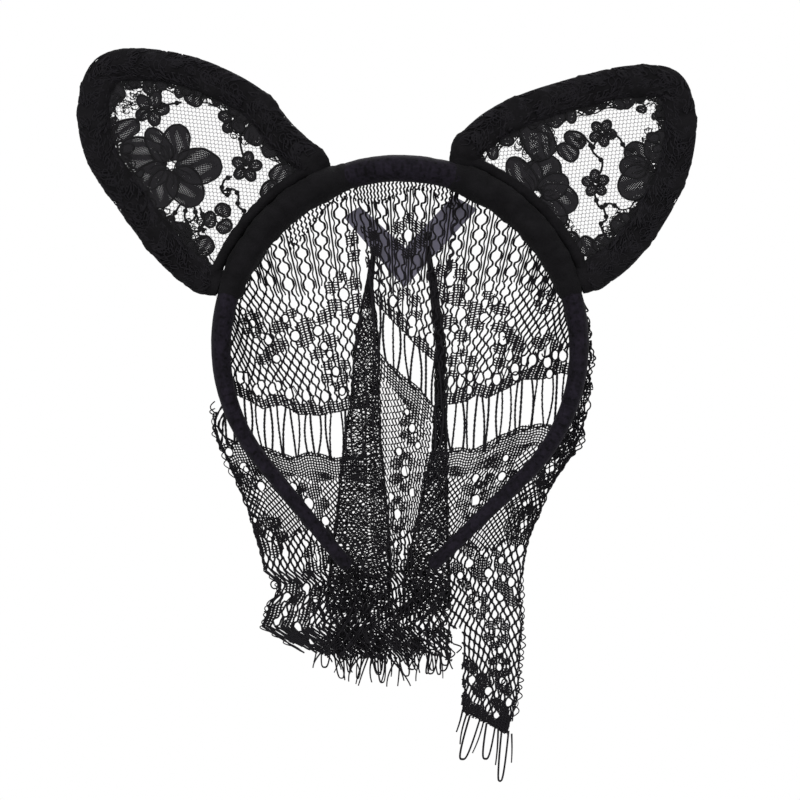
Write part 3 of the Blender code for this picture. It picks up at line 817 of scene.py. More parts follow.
# ---------------------------------------------------------------- pleats and the crumpled hem
def build_pleats(side):
    """A wedge of fine lace folded in three, with dark twisted edges where the folds run."""
    rows = sorted(PLEATS[side])
    left, right = [(z, a) for z, a, _ in rows], [(z, b) for z, _, b in rows]
    top, foot = rows[-1][0], rows[0][0]

    def layer(number):
        def spot(u, v):
            z = top - v
            a, b = table(left, z), table(right, z)
            share = u + 0.03 * np.sin(0.7 * v + 2 * number)
            return a + (b - a) * (share if number % 2 else 1 - share), z

        def depth(x, z):
            return veil_depth(x, z) + 0.9 + 1.2 * number + 0.5 * np.sin(0.9 * x + 0.31 * z + number)

        return spot, depth

    folds = Threads()
    for number in range(3):
        spot, depth = layer(number)
        for i in range(9):
            v = np.arange(0, top - foot, 0.42)
            share = (i + 0.5) / 9
            phase = 2 * np.pi * v / 3.0 + np.pi * (i % 2) + 1.6 * unevenness(i, 0.8 * v, number + 0.5)
            width = table(right, top - v) - table(left, top - v)
            x, z = spot(share + 0.065 * np.sin(phase), v)
            y = depth(x, z)
            gap = (unevenness(9 * share + 31 * number, 0.9 * v, 2.2) > 0.6) & (width > 5)
            for a, b in runs(~gap):
                folds.run(x[a:b], y[a:b], z[a:b], 0.21)
        for v0 in np.arange(2, top - foot, 1.3):
            if math.sin(0.33 * v0 + 1.9 * number) > 0.25:
                share = np.linspace(0, 1, 14)
                x, z = spot(share, v0 + 1.2 * np.sin(4 * share + number))
                folds.run(x, depth(x, z), z, 0.23)
    edges = Threads()
    for edge, way in ((left, -1), (right, 1)):
        z = np.arange(top, foot, -0.7)
        for strand in range(4):
            turn = 0.9 * z + 1.57 * strand
            reach = np.clip((top - z) / 30, 0.25, 1)
            x = table(edge, z) + reach * (0.35 * np.sin(turn) + 0.35 * unevenness(z, 0 * z, strand + way))
            y = veil_depth(x, z) + 1.6 + reach * 0.8 * np.cos(turn)
            edges.run(x, y, z, 0.24)
    return folds, edges


def build_crumple():
    """The gathered hem between the arm tips: layers of the same net, folded over each other."""
    hem = Threads()
    layers = ((-30, 17, -83), (-31, -3, -90), (-25, 20, -96), (2, 18, -80), (-34, -12, -105))
    for number, (low, high, top) in enumerate(layers):
        def spot(u, v):
            z = top - v - 3.5 * np.sin(0.16 * u + 1.7 * number)
            x = u + 2.2 * np.sin(0.21 * v + 1.3 * number + 0.11 * u) + 1.1 * np.sin(0.52 * v + 0.3 * u)
            return x, z - 1.4 * np.sin(0.55 * u + 0.2 * v + number)

        def depth(x, z):
            return LACE_Y - 2.5 + 2.2 * number + 1.2 * np.sin(0.5 * z + 0.8 * x + number)

        def length(u):
            sway = 3.0 * math.sin(0.16 * u + 1.7 * number)
            return top - table(BOTTOM_LINE, u) - sway + 1.5 * math.sin(0.9 * u)

        patches = [(rng.uniform(low, high), rng.uniform(-114, top), rng.uniform(3, 8), rng.uniform(2, 4.5),
                    rng.uniform(-60, 60)) for _ in range(5)]
        layer = Lace(spot, depth, (low, high), length, patches)
        layer.net(hem, 1.95 + 0.15 * number, 4.6 + 0.5 * number, 0.31)
        layer.hatch(hem, 1.1, 1.0, HATCH_R)
    return hem


def lash(threads, x, z, length, lean, curl, radius, y=0.0):
    """One eyelash thread, curved, with a thin end."""
    t = np.linspace(0, 1, 14)
    xs = x + lean * length * t + curl * np.sin(1.8 * t)
    zs = z - length * t + 0.15 * abs(curl) * t * t
    ys = veil_depth(xs, zs) + y + 0.8 * np.sin(2.2 * t + x)
    threads.run(xs, ys, zs, radius * (1.05 - 0.35 * t))


def looped_pair(threads, x, z, length, lean, width, radius):
    """Two lashes that come back together in a loop at the foot."""
    t = np.linspace(-1, 1, 31)
    down = (1 - np.abs(t) ** 2.6) ** 0.9
    xs = x + 0.5 * width * np.sign(t) * np.abs(t) ** 0.75 * (1 + 0.25 * down) + lean * length * down
    zs = z - length * down
    ys = veil_depth(xs, zs) + 0.5 * np.sin(5 * t + x)
    threads.run(xs, ys, zs, radius)


# Rows are (x, length, lean, width) and (x, length, lean, curl).
TAIL_LOOPS = ((28.2, 16.5, -0.30, 4.2), (34.0, 13.5, -0.16, 3.4), (39.2, 19.0, -0.10, 2.6))
TAIL_LASHES = ((23.4, 8.5, -0.35, 0.6), (25.2, 12.5, -0.10, -1.6), (31.4, 13.0, -0.45, 1.5),
               (36.6, 14.5, -0.12, 0.8), (41.6, 11.0, -0.05, 0.5))


def build_fringes():
    """The lashes and loops under the hem and under the tail."""
    hem, tail = Threads(), Threads()
    for x in np.arange(-31.0, 19.5, 1.15):
        z = table(BOTTOM_LINE, x) + 1.5
        a, b = rng.uniform(-1, 1, 2)
        length = rng.uniform(6.5, 12.5) if -27 < x < 16 else rng.uniform(5, 8)
        if rng.uniform() < 0.3:
            looped_pair(hem, x, z, length * 0.85, 0.25 * a, 2.4 + b, 0.32)
        else:
            lash(hem, x, z, length, 0.5 * a, 3.2 * b, 0.35, y=1.6 * a)
    for x, length, lean, width in TAIL_LOOPS:
        z = table(BOTTOM_LINE, x) + 1.2
        looped_pair(tail, x, z, length, lean, width, 0.38)
        looped_pair(tail, x, z, length * 0.99, lean, width, 0.3)
    for x, length, lean, curl in TAIL_LASHES:
        lash(tail, x, table(BOTTOM_LINE, x) + 1.2, length, lean, curl, 0.38)
    return hem, tail


# ---------------------------------------------------------------- the band
def band_thick(along):
    """The band's thickness at a distance from the crown's top, measured along its middle."""
    share = np.minimum(1, along / HALF_BAND)
    return TIP_THICK + (CROWN_THICK - TIP_THICK) * (0.5 + 0.5 * np.cos(np.pi * share))


def crown_line():
    """The crown's middle line, and its thickness."""
    angle = np.arange(math.radians(-WRAP_END), math.radians(WRAP_END), BAND_STEP / HOOP_R)
    return on_hoop(angle), band_thick(np.abs(angle) * HOOP_R)


def arm_line(side):
    """An arm's middle line from inside the crown wrap to its rounded tip, and its thickness."""
    sign = SIGN[side]
    angle = np.arange(math.radians(WRAP_END - 0.5), math.radians(ARC_END[side]), BAND_STEP / HOOP_R)
    arc = on_hoop(sign * angle)
    run = np.array([sign * math.cos(angle[-1]), 0, -math.sin(angle[-1])])
    straight = np.arange(BAND_STEP, (arc[-1][2] - ARM_TIP_Z[side]) / -run[2], BAND_STEP)
    line = np.vstack([arc, arc[-1] + straight[:, None] * run])
    along = np.concatenate([angle * HOOP_R, angle[-1] * HOOP_R + straight])
    thick = band_thick(along)
    to_tip = np.clip((along[-1] - along) / TIP_ROUNDING, 0, 1)
    return line, thick * np.sqrt(np.clip(1 - (1 - to_tip) ** 2, 0.01, 1))


def build_band():
    """The velvet wraps of the crown and the two arms."""
    lumps = ((9, 0.22), (3.2, 0.12), (1.1, 0.05))
    line, thick = crown_line()
    crown = padded_tube("band_wrap_crown", line, thick / 2 + 0.15, VELVET, WIDTH_PER_THICK, lumps)
    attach(crown, "root")
    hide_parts("band_cover_crown")
    for side, sign in SIGN.items():
        line, thick = arm_line(side)
        arm = padded_tube(f"band_wrap_{side}_arm", line, thick / 2 + 0.1, VELVET, WIDTH_PER_THICK,
                          ((9, 0.12), (1.3, 0.04)))
        start, end = (in_frame(on_hoop(sign * math.radians(a))) for a in FLEX_BLEND)
        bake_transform(arm)
        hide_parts(f"band_cover_{side}_arm", f"tip_cap_{side}")


def build_collar(side):
    """The extra wrap of cloth that the ear is sewn down with, wound round the band in creases."""
    first, last = (math.radians(a) for a in COLLAR_SPAN)
    angle = np.arange(first, last, 0.5 / HOOP_R)
    end = np.minimum(angle - first, last - angle) * HOOP_R
    wound = np.sin(angle * 31) * 0.16 + np.sin(angle * 83 + 1) * 0.09
    proud = COLLAR_PROUD * np.sqrt(np.clip(end / 8.0, 0.02, 1)) + wound * np.clip(end / 2, 0, 1)
    radius = band_thick(angle * HOOP_R) / 2 + proud
    collar = padded_tube(f"{side}_ear_sleeve", on_hoop(SIGN[side] * angle), radius, PLUSH, 1.3,
                         ((4.5, 0.35), (1.7, 0.2), (0.7, 0.07)))
    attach(collar, "root")
    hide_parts(f"{side}_ear_collar")


# ---------------------------------------------------------------- the ears
class Ear:
    """An ear's own plane: a runs towards its outer foot, and b away from the hoop's centre."""

    def __init__(self, side):
        self.side = side
        self.up = on_hoop(SIGN[side] * EAR_ANGLE, 1.0)
        self.across = np.array([self.up[2], 0, -self.up[0]]) * SIGN[side]
        self.outline = resample(smooth_line(EAR_OUTLINE[side], 16), 0.8)
        self.window = self.inset(RIM_HALF_WIDTH * 1.5)

    def place(self, a, b, y=0.0):
        """Points of the ear's plane, in hoop millimetres."""
        a, b = np.asarray(a, float), np.asarray(b, float)
        behind = np.stack([0 * a, y + 0 * a, 0 * a], axis=-1)
        return a[..., None] * self.across + b[..., None] * self.up + behind

    def inset(self, distance):
        """The outline moved inward."""
        run = np.gradient(self.outline, axis=0)
        run /= np.linalg.norm(run, axis=1)[:, None]
        inward = np.column_stack([run[:, 1], -run[:, 0]])
        middle = np.array([0.0, 100.0])
        inward *= np.sign(((middle - self.outline) * inward).sum(1))[:, None]
        line = self.outline + inward * distance
        gap = np.linalg.norm(line[:, None] - self.outline[None], axis=2).min(1)
        return line[gap > distance - 0.15]

    def rim_line(self):
        """The rim's middle line, with both its feet on the band."""
        line = self.inset(RIM_HALF_WIDTH)
        line = line[np.hypot(*line.T) > RIM_FOOT + 4]
        feet = [p / np.hypot(*p) * RIM_FOOT for p in (line[0], line[-1])]
        return resample(np.vstack([feet[0], line, feet[1]]), 0.6)

    def holds(self, a, b):
        """Whether points lie inside the opening of the ear, above the band."""
        w = np.vstack([self.window, [[self.window[-1][0], 60], [self.window[0][0], 60]]])
        a, b = np.broadcast_arrays(np.asarray(a, float), np.asarray(b, float))
        inside = np.zeros(a.shape, bool)
        for (a0, b0), (a1, b1) in zip(w, np.roll(w, -1, axis=0)):
            cross = (b0 > b) != (b1 > b)
            inside ^= cross & (a < (a1 - a0) * (b - b0) / (b1 - b0 + 1e-9) + a0)
        return inside & (np.hypot(a, b) > BASE_ROLL_R - 0.8)

    def join(self, made):
        """Bakes a piece's place in the frame into its mesh."""
        start, end = (in_frame(self.up * r) for r in EAR_BLEND)
        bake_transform(made)


# Filigree rows are (a, b, half width, half height), centres and flowers (a, b, size), and petals (foot a,
# foot b, direction in degrees, gap at the foot, reach, half width). A stem is a list of points.
EAR_MOTIFS = {
    "left": {
        "filigree": ((21.5, 84.5, 7.5, 4.5), (4.0, 137.0, 7.0, 5.5), (-14.5, 97.5, 3.0, 6.0)),
        "centres": (
            (11.4, 107.6, 1.5), (1.4, 127.4, 0.8), (-17.0, 103.0, 0.8), (-7.8, 87.2, 0.8),
            (13.0, 81.0, 1.2)),
        "petals": (
            (11.4, 107.6, 148, 2, 15.5, 5.0), (11.4, 107.6, 228, 2, 19.0, 6.3),
            (11.4, 107.6, -79, 2, 17.8, 6.0), (11.4, 107.6, -26, 2, 16.5, 5.0),
            (11.4, 107.6, 67, 2, 20.0, 5.8), (11.4, 107.6, 104, 2, 16.0, 3.8),
            (11.4, 107.6, 17, 2, 16.0, 4.4), (-14.7, 92.6, 170, 0, 9.0, 3.6),
            (8.5, 126.6, 24, 0, 17.0, 3.4), (13.0, 81.0, 40, 1.2, 6.0, 2.8),
            (13.0, 81.0, 160, 1.2, 6.0, 2.8), (13.0, 81.0, 280, 1.2, 6.0, 2.8),
            (20.5, 77.0, 15, 0, 9.0, 3.4), (-10.5, 77.0, 190, 0, 9.0, 3.4),
            (-4.0, 74.0, 165, 0, 8.0, 3.0), (-15.5, 86.5, 200, 0, 7.5, 2.6),
            (-9.5, 118.5, 170, 0, 7.5, 3.4), (-1.5, 131.5, 160, 0, 8.0, 3.4),
            (3.5, 139.5, 20, 0, 10.5, 3.2), (13.0, 137.0, 100, 0, 7.0, 2.6),
            (28.0, 92.0, 250, 0, 9.0, 3.0)),
        "flowers": ((1.4, 127.4, 6.6), (-17.0, 103.0, 5.8), (-7.8, 87.2, 5.8)),
        "stems": (
            ((-17.0, 103), (-15.5, 98), (-12, 94.5), (-7.8, 87.2)),
            ((5, 87.4), (1.6, 85), (2, 81.9), (4.7, 79.4), (4.7, 76.1), (9.1, 74.6)),
            ((-1.5, 88.5), (1.5, 89.6), (5, 87.4), (4.2, 84.6), (2.4, 85.6)),
            ((1.4, 127.4), (-4, 124), (-8, 121)), ((1.4, 127.4), (5, 128.5), (9, 127.5)),
            ((16, 91), (19, 87.5), (24, 88.5), (25.6, 83.5)),
            ((17.5, 93), (21.5, 90.5), (23, 85), (19, 81.5)),
            ((15, 89), (17.5, 84.5), (22, 83), (22.6, 80)), ((19.5, 95), (25.5, 93), (26.6, 88))),
    },
    "right": {
        "filigree": ((-19.0, 89.0, 6.5, 7.0), (25.0, 90.0, 4.5, 6.5), (12.0, 74.0, 9.0, 3.0),
                     (13.0, 122.0, 6.5, 5.0)),
        "centres": (
            (17.6, 113.2, 1.5), (7.5, 94.0, 0.7), (-4.0, 109.0, 0.7), (-4.8, 76.5, 1.5)),
        "petals": (
            (-4.8, 75.0, 112, 2, 16.0, 5.8), (-4.8, 75.0, 36, 2, 16.0, 5.6),
            (-4.8, 75.0, 74, 2, 13.5, 4.4), (-4.8, 75.0, 170, 2, 17.0, 4.2),
            (-4.8, 75.0, 142, 2, 13.0, 3.4), (-4.8, 75.0, 5, 2, 15.0, 3.6),
            (17.6, 113.2, 112, 2, 14.0, 5.4), (17.6, 113.2, 270, 2, 15.5, 5.6),
            (17.6, 113.2, 185, 2, 12.0, 4.4), (17.6, 113.2, 335, 2, 12.5, 4.8),
            (17.6, 113.2, 45, 2, 11.0, 4.4), (17.6, 113.2, 226, 2, 12.0, 4.0),
            (-5.5, 101.5, 200, 0, 8.5, 2.8), (-4.0, 96.0, 195, 0, 8.5, 2.8),
            (-11.5, 88.0, 165, 0, 16.5, 5.6), (24.1, 86.5, 80, 0, 9.0, 3.2), (13.0, 72.6, 0, 0, 8.0, 3.2),
            (18.0, 75.0, 5, 0, 8.0, 3.2), (22.0, 79.5, 10, 0, 7.5, 3.0), (27.5, 86.0, 70, 0, 7.5, 3.0),
            (4.0, 130.0, 0, 0, 9.5, 3.2), (-3.5, 124.0, 185, 0, 9.0, 3.2),
            (-17.0, 101.0, 190, 0, 8.0, 3.4), (-25.0, 92.0, 120, 0, 8.0, 3.0)),
        "flowers": ((7.5, 94.0, 5.2), (-4.0, 109.0, 5.2)),
        "stems": (
            ((-4.0, 109), (-3.4, 105), (-1.7, 101.6), (4, 101), (7.5, 94)),
            ((20.4, 93.7), (16.5, 92.6), (16, 90), (19.7, 87.6), (19.7, 84.7), (24.1, 82.8)),
            ((-21.7, 76.9), (-17, 80.5), (-13.3, 78.8)), ((-1.7, 101.6), (-6, 103), (-9.4, 99.7)),
            ((10, 91), (14, 89), (16, 90)), ((-4, 109), (1, 112), (6, 111), (9, 113)),
            ((-14, 92), (-18, 94), (-24, 91)), ((-13, 86), (-18, 84.5), (-25, 87))),
    },
}


class Petal:
    """A lace petal that grows from its foot: t runs from foot to tip, and q from edge to edge."""

    def __init__(self, a, b, turn, gap, reach, half_width):
        self.foot = np.array([a, b], float)
        self.way = np.array([math.cos(math.radians(turn)), math.sin(math.radians(turn))])
        self.gap, self.long, self.half_width, self.turn = gap, reach - gap, half_width, turn

    def width(self, t):
        t = np.clip(t, 0, 1)
        scallop = 1 + 0.07 * np.abs(np.sin(5.5 * t + self.turn))
        return self.half_width * np.sqrt(np.clip(1 - np.abs(2 * t**0.8 - 1) ** 2.3, 0, 1)) * scallop

    def point(self, t, q):
        along, aside = self.gap + self.long * t, q * self.width(t)
        return (self.foot[0] + self.way[0] * along - self.way[1] * aside,
                self.foot[1] + self.way[1] * along + self.way[0] * aside)

    def holds(self, a, b):
        da, db = a - self.foot[0], b - self.foot[1]
        t = (da * self.way[0] + db * self.way[1] - self.gap) / self.long
        aside = db * self.way[0] - da * self.way[1]
        return (t > 0) & (t < 1) & (np.abs(aside) < self.width(t))


def ear_petals(ear):
    """Every petal of an ear's lace: the listed ones, the small flowers' and a scatter along the rim."""
    made = [Petal(*row) for row in EAR_MOTIFS[ear.side]["petals"]]
    for a, b, size in EAR_MOTIFS[ear.side]["flowers"]:
        made += [Petal(a, b, 72 * i + 9 * a, 0.14 * size, size, 0.33 * size) for i in range(5)]
    draw = np.random.default_rng(11).uniform
    edge = resample(ear.inset(RIM_HALF_WIDTH * 2.05), 1.0)
    for i in range(3, len(edge) - 3, 4):
        a, b = edge[i] + draw(-1.0, 1.0, 2)
        size = draw(2.0, 5.4)
        made.append(Petal(a, b, draw(0, 360), 0, size, 0.36 * size))
    tip = max(edge, key=lambda p: p[1])
    for _ in range(10):
        a, b = tip + draw((-8, -9), (8, 1))
        size = draw(2.0, 4.6)
        made.append(Petal(a, b, draw(0, 360), 0, size, 0.34 * size))
    return made


def build_ear_lace(ear):
    """Fine tulle with flowers: close-hatched petals inside thick cord outlines."""
    petals = ear_petals(ear)
    low, high = ear.window.min(0), ear.window.max(0)

    def depth(a, b):
        return 0.25 * np.sin(0.21 * a) * np.sin(0.17 * b)

    def lay(threads, a, b, keep, radius, y=0.0):
        a, b = (np.array(values, float) for values in np.broadcast_arrays(a, b))
        for first, last in runs(keep & ear.holds(a, b)):
            threads.add(ear.place(a[first:last], b[first:last], y + depth(a, b)[first:last]), radius)

    tulle, fill, cords = Threads(), Threads(), Threads()
    wide, tall = high - low + (0, 6)
    for i, u in enumerate(np.arange(0, wide, TULLE_CELL / 2)):
        v = np.arange(-2, tall, TULLE_REPEAT / 8)
        wave = np.clip(2.2 * np.sin(2 * np.pi * v / TULLE_REPEAT + np.pi * (i % 2)), -1, 1)
        a, b = low[0] + u + wave * (TULLE_CELL / 4 - 0.05), high[1] - v
        covered = np.zeros(len(v), bool)
        for petal in petals:
            covered |= petal.holds(a, b)
        lay(tulle, a, b, ~covered, TULLE_R)
    t = np.linspace(0, 1, 22)
    every = np.ones(len(t), bool)
    vein = t[:14]
    for number, petal in enumerate(petals):
        y = -0.1 - 0.12 * (number % 4)
        for q in np.arange(-1, 1.001, 0.56 / petal.half_width):
            lay(fill, *petal.point(t, q + 0.04 * np.sin(9 * t + 7 * q)), every, 0.262, y)
        for along in np.arange(0.04, 1, 0.6 / petal.long):
            q = np.linspace(-1, 1, 7)
            lay(fill, *petal.point(along + 0.02 * q * q, q), q > -2, 0.22, y)
        for q in (-1, 1):
            lay(cords, *petal.point(t, q), every, 0.34, y - 0.2)
        if petal.half_width > 3.5:
            for q in (-0.5, 0, 0.5):
                lay(cords, *petal.point(0.62 * vein, q + 0.12 * np.sin(5 * vein + number)), every[:14], 0.2,
                    y - 0.2)
    for a0, b0, size in EAR_MOTIFS[ear.side]["centres"]:
        turn = np.linspace(0, 2 * np.pi, 13)
        star = size * (1 + 0.3 * (np.arange(13) % 2))
        lay(cords, a0 + star * np.cos(turn), b0 + star * np.sin(turn), turn > -1, 0.3, -0.7)
    for stem in EAR_MOTIFS[ear.side]["stems"]:
        a, b = smooth_line(stem).T
        lay(cords, a, b, a > -99, 0.42, -0.4)
        knots = np.linspace(0, 2 * np.pi, 9)
        for k in range(4, len(a) - 2, 9):
            lay(cords, a[k] + 0.7 * np.cos(knots), b[k] + 0.7 * np.sin(knots), knots > -1, 0.32, -0.45)
    draw = np.random.default_rng(23).uniform
    for a0, b0, half_a, half_b in EAR_MOTIFS[ear.side]["filigree"]:
        for _ in range(int(1.6 * half_a * half_b)):
            turn, far = draw(0, 2 * np.pi), math.sqrt(draw(0, 1))
            t = turn + np.linspace(0, draw(2.5, 5.5), 9)
            size = draw(0.5, 1.5)
            lay(cords, a0 + far * half_a * math.cos(3 * turn) + size * np.cos(t),
                b0 + far * half_b * math.sin(3 * turn) + size * np.sin(t), t > -1, 0.2, -0.25)
    t = np.linspace(0, 2.4 * np.pi, 14)
    for share, apart, radius in ((2.0, 3, 0.28), (2.2, 5, 0.3), (2.45, 11, 0.26)):
        edge = ear.inset(RIM_HALF_WIDTH * share)
        for i in range(0, len(edge) - len(t), apart):
            a, b = edge[i : i + len(t)].T
            size = 0.9 + 0.5 * math.sin(2.3 * i + share)
            lay(cords, a + size * np.cos(t + i), b + size * np.sin(t + i), t > -1, radius, -0.3)
    return tulle, fill, cords


def build_rim(ear, line):
    """The stuffed rim, rounder and narrower at its feet."""
    t = np.linspace(0, 1, len(line))
    end = np.clip(np.minimum(t, 1 - t) * len(line) * 0.6 / 6.0, 0, 1)
    uneven = 0.98 + 0.03 * np.sin(47 * t) + 0.02 * np.sin(91 * t + 1)
    radius = RIM_HALF_WIDTH * uneven - 0.7 * (1 - end)
    rim = padded_tube(f"{ear.side}_ear_roll", ear.place(*line.T), radius, PLUSH,
                      RIM_HALF_THICK / RIM_HALF_WIDTH, ((6.5, 0.6), (2.6, 0.4), (1.0, 0.2)), resolution=16)
    ear.join(rim)
    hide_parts(f"{ear.side}_ear_rim", f"{ear.side}_ear_wire")
    return rim


def build_rim_cover(ear, line):
    """Short swirls of lace thread all round the rim."""
    cover = Threads()
    scatter = np.random.default_rng(5)
    run = np.gradient(line, axis=0)
    outward = np.column_stack([run[:, 1], -run[:, 0]]) / np.linalg.norm(run, axis=1)[:, None]
    k = np.arange(9)
    for _ in range(1500):
        i, turn = scatter.integers(8, len(line) - 12), scatter.uniform(0, 2 * np.pi)
        swirl = turn + 0.16 * np.sin(0.9 * k + turn) * scatter.uniform(0.5, 2.2)
        at = np.clip(i + 2.2 * np.cos(0.8 * k + 3 * turn), 0, len(line) - 1).astype(int)
        out = (RIM_HALF_WIDTH - 0.12) * np.cos(swirl)
        a, b = (line[at] + outward[at] * out[:, None]).T
        cover.add(ear.place(a, b, (RIM_HALF_THICK + 0.15) * np.sin(swirl)), 0.2)
    lacy = cover.make(f"{ear.side}_ear_lace_cover", LACE)
    ear.join(lacy)


def build_rim_stitching(ear):
    """Two rows of stitches on the rim's front, and one on its back."""
    stitches = Threads()
    for sign, share in ((-1, 0.32), (-1, 0.74), (1, 0.5)):
        row = ear.inset(RIM_HALF_WIDTH + share * RIM_HALF_WIDTH)
        row = resample(row[np.hypot(*row.T) > RIM_FOOT + 6], 0.5)
        y = sign * (RIM_HALF_THICK * math.sqrt(max(0.05, 1 - share**2)) + 0.12)
        for i in range(0, len(row) - 4, 6):
            a, b = row[i : i + 4].T
            stitches.add(ear.place(a, b, y + 0.22 * np.array([-0.6, 0.5, 0.5, -0.6]) * sign), 0.17)
    sewn = stitches.make(f"{ear.side}_ear_stitching", SEWING)
    ear.join(sewn)


def build_base_roll(ear, line):
    """The bound roll between the rim's feet, along the band."""
    first, last = (math.atan2(*line[i]) for i in (0, -1))
    angle = np.linspace(first, last, 150)
    path = ear.place(BASE_ROLL_R * np.sin(angle), BASE_ROLL_R * np.cos(angle))
    roll = padded_tube(f"{ear.side}_ear_base_roll", path, BASE_ROLL_HALF_THICK, PLUSH, 1.0,
                       ((3.0, 0.3), (1.2, 0.14)), resolution=6)
    ear.join(roll)
    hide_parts(f"{ear.side}_ear_base_binding")


def build_ear(side):
    """One ear: its rim, the lace over it, the stitches, the base roll and the inset."""
    ear = Ear(side)
    line = ear.rim_line()
    rim = build_rim(ear, line)
    build_rim_cover(ear, line)
    build_rim_stitching(ear)
    build_base_roll(ear, line)

    tulle, fill, cords = build_ear_lace(ear)
    panel = tulle.make(f"{side}_ear_tulle", TULLE)
    petals = fill.make(f"{side}_ear_petals", FILL)
    lines = cords.make(f"{side}_ear_cords", CORD)
    for made in (panel, petals, lines):
        ear.join(made)
    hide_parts(f"{side}_ear_lace")
    wide, tall = (ear.window.max(0) - ear.window.min(0)) * MM
    TULLE_CUT * wide * tall


# ---------------------------------------------------------------- ribbon and sewing
def build_ribbon():
    """The sheer ribbon folded in a V behind the lace, under the crown."""
    bm = bmesh.new()
    bm.faces.new([bm.verts.new(in_frame((x, RIBBON_Y, z))) for x, z in RIBBON_V])
    bmesh.ops.triangulate(bm, faces=bm.faces)
    bmesh.ops.subdivide_edges(bm, edges=bm.edges, cuts=9, use_grid_fill=True)
    for v in bm.verts:
        x, z = v.co.x / MM, v.co.z / MM
        v.co.y += (0.5 * math.sin(0.35 * x + 0.2 * z) + 0.25 * math.sin(0.9 * z - 0.5 * x)) * MM
    bmesh.ops.recalc_face_normals(bm, faces=bm.faces)
    bmesh.ops.solidify(bm, geom=bm.faces, thickness=0.25 * MM)
    mesh = bpy.data.meshes.new("gather_ribbon_v")
    bm.to_mesh(mesh)
    bm.free()
    ribbon = finished("sheer_ribbon_v", mesh, SHEER)
    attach(ribbon, "root")
    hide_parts("gather_ribbon")


def build_header():
    """The lace's top edge, whipped to the inside of the band, and the pleats' tack stitches."""
    header = Threads()
    angle = np.arange(math.radians(-72), math.radians(72), 0.35 / HOOP_R)
    for strand in range(3):
        radius = 65.2 + 1.1 * strand + 0.35 * np.sin(angle * 95 + 2.1 * strand)
        header.add(on_hoop(angle, radius, LACE_Y - 0.6 + 0.3 * np.cos(angle * 95)), 0.42)
    for at in np.arange(-70, 70, 1.5):
        t = np.linspace(0, 1, 9)
        slant = math.radians(at) + 0.02 * t
        radius = 63.8 + 4.6 * np.sin(np.pi * t * 0.9 + 0.1)
        header.add(on_hoop(slant, radius, 7.0 + 3.4 * t), 0.22)
    tacks = {}
    for side, x in (("left", -9.5), ("right", 10.3)):
        tacks[side] = Threads()
        for i in range(5):
            t = np.linspace(0, 2 * np.pi, 13)
            xs = x + (1.1 + 0.1 * i) * np.cos(t) + 0.2 * math.sin(3 * i)
            zs = 40.5 + 0.55 * i + 0.5 * np.sin(2 * t + i)
            tacks[side].run(xs, LACE_Y + 1.7 + 1.2 * np.sin(t), zs, 0.26)
    return header, tacks


# ---------------------------------------------------------------- putting the model together
def hang(threads, name, finish=LACE):
    """A veil piece made from its threads, with its place baked into its mesh."""
    made = threads.make(name, finish)
    start, end = ((0.0, VEIL_Y * MM, (z + HOOP_Z) * MM) for z in BLEND_Z)
    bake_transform(made)
    return made


build_band()
for side in SIGN:
    build_collar(side)
    build_ear(side)

net, motifs = build_upper()
upper_motifs = hang(motifs, "veil_upper_motifs")
upper_net = hang(net, "veil_upper_net")
ladder = hang(build_ladder(), "veil_open_bars")
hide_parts("veil_upper_lace")

net, mesh, motifs = build_lower()
lower_net = hang(net, "veil_lower_net")
on_lower = [
    hang(mesh, "veil_lower_mesh"),
    hang(motifs, "veil_lower_motifs"),
    hang(build_edges(), "veil_side_edges"),
    hang(build_returns(), "veil_side_folds"),
    hang(build_crumple(), "veil_gathered_hem"),
]
for lashes, name, node in zip(build_fringes(), ("veil_hem_lashes", "veil_tail_lashes"),
                              ("veil_fringe", "tail_fringe")):
    on_lower.append(hang(lashes, name))
    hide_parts(node)
for side in SIGN:
    folds, fold_edges = build_pleats(side)
    on_lower += [hang(folds, f"{side}_pleat"), hang(fold_edges, f"{side}_pleat_edges", CORD)]
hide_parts("veil_lower_lace")

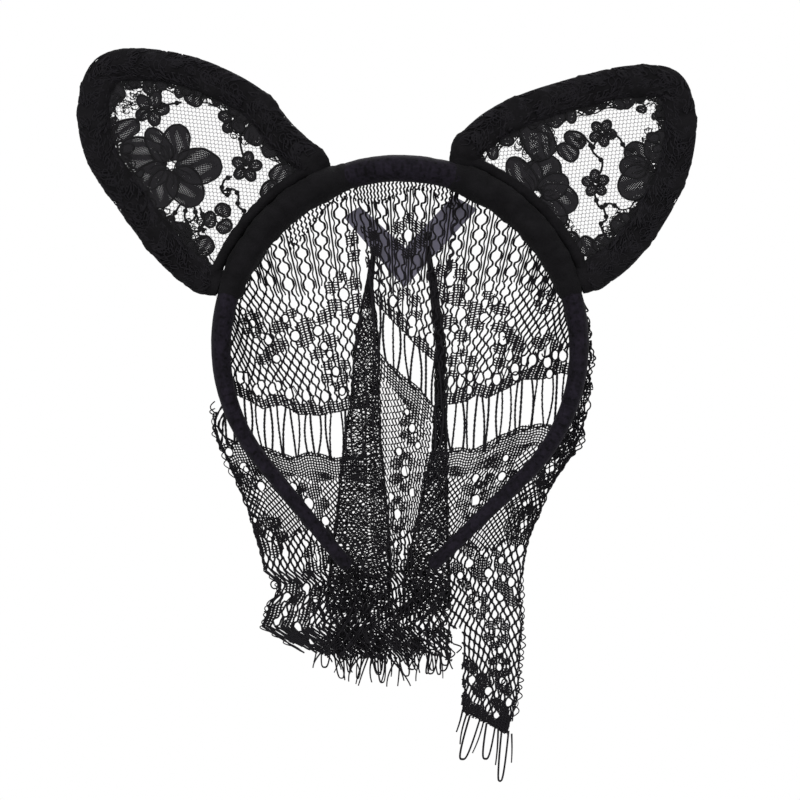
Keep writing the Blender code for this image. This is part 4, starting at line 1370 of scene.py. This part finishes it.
build_ribbon()
header, tacks = build_header()
header_piece = header.make("veil_header_whipping", CORD)
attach(header_piece, "root")
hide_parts("veil_header_tape")
for side, threads in tacks.items():
    tack = threads.make(f"pleat_stitches_{side}", SEWING)
    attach(tack, "root")
    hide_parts(f"pleat_tack_{side}")

# The CAD nodes: the springs' steel, the crown's foam, and black cloth under the lace.
for node, made in frame["nodes"].items():
    finish = STEEL if "strip" in node or "wire" in node else FOAM if "foam" in node else LACE
    for place in made.material_slots:
        place.material = finish

# ---------------------------------------------------------------- floor, lights and camera
bm = bmesh.new()
bmesh.ops.create_circle(bm, cap_ends=True, radius=0.16, segments=96,
                        matrix=Matrix.Translation((0, 0, -0.3)))
floor_mesh = bpy.data.meshes.new("floor")
bm.to_mesh(floor_mesh)
bm.free()
paint = Paint("pale_floor", Roughness=0.8)
floor_finish = paint.finish(Base_Color=paint.colour(paint.noise(30), (0.84, 0.84, 0.84), (0.9, 0.9, 0.9)))
finished("floor", floor_mesh, floor_finish)

scene = bpy.context.scene
scene.world = bpy.data.worlds.new("white_studio")
scene.world.use_nodes = True
scene.world.node_tree.nodes["Background"].inputs["Color"].default_value = (1, 1, 1, 1)
scene.world.node_tree.nodes["Background"].inputs["Strength"].default_value = 1.0
scene.view_settings.view_transform = "Standard"


def soft_light(name, place, size, watts):
    """A round area light that faces the object."""
    light = bpy.data.lights.new(name, "AREA")
    light.shape, light.size, light.energy = "DISK", size, watts
    lamp = bpy.data.objects.new(name, light)
    lamp.location = place
    lamp.rotation_euler = (Vector((0, 0, -0.08)) - Vector(place)).to_track_quat("-Z", "Y").to_euler()
    scene.collection.objects.link(lamp)


soft_light("key", (-0.7, -1.0, 0.9), 0.7, 16)
soft_light("fill", (0.9, -0.9, 0.2), 0.9, 6)
soft_light("rim", (0.2, 0.9, 0.9), 0.8, 8)

view = bpy.data.cameras.new("camera")
view.sensor_width, view.lens = 36, 146
camera = bpy.data.objects.new("camera", view)
camera.location = (0, -1.2, -0.081)
camera.rotation_euler = (math.radians(90), 0, 0)
scene.collection.objects.link(camera)
scene.camera = camera
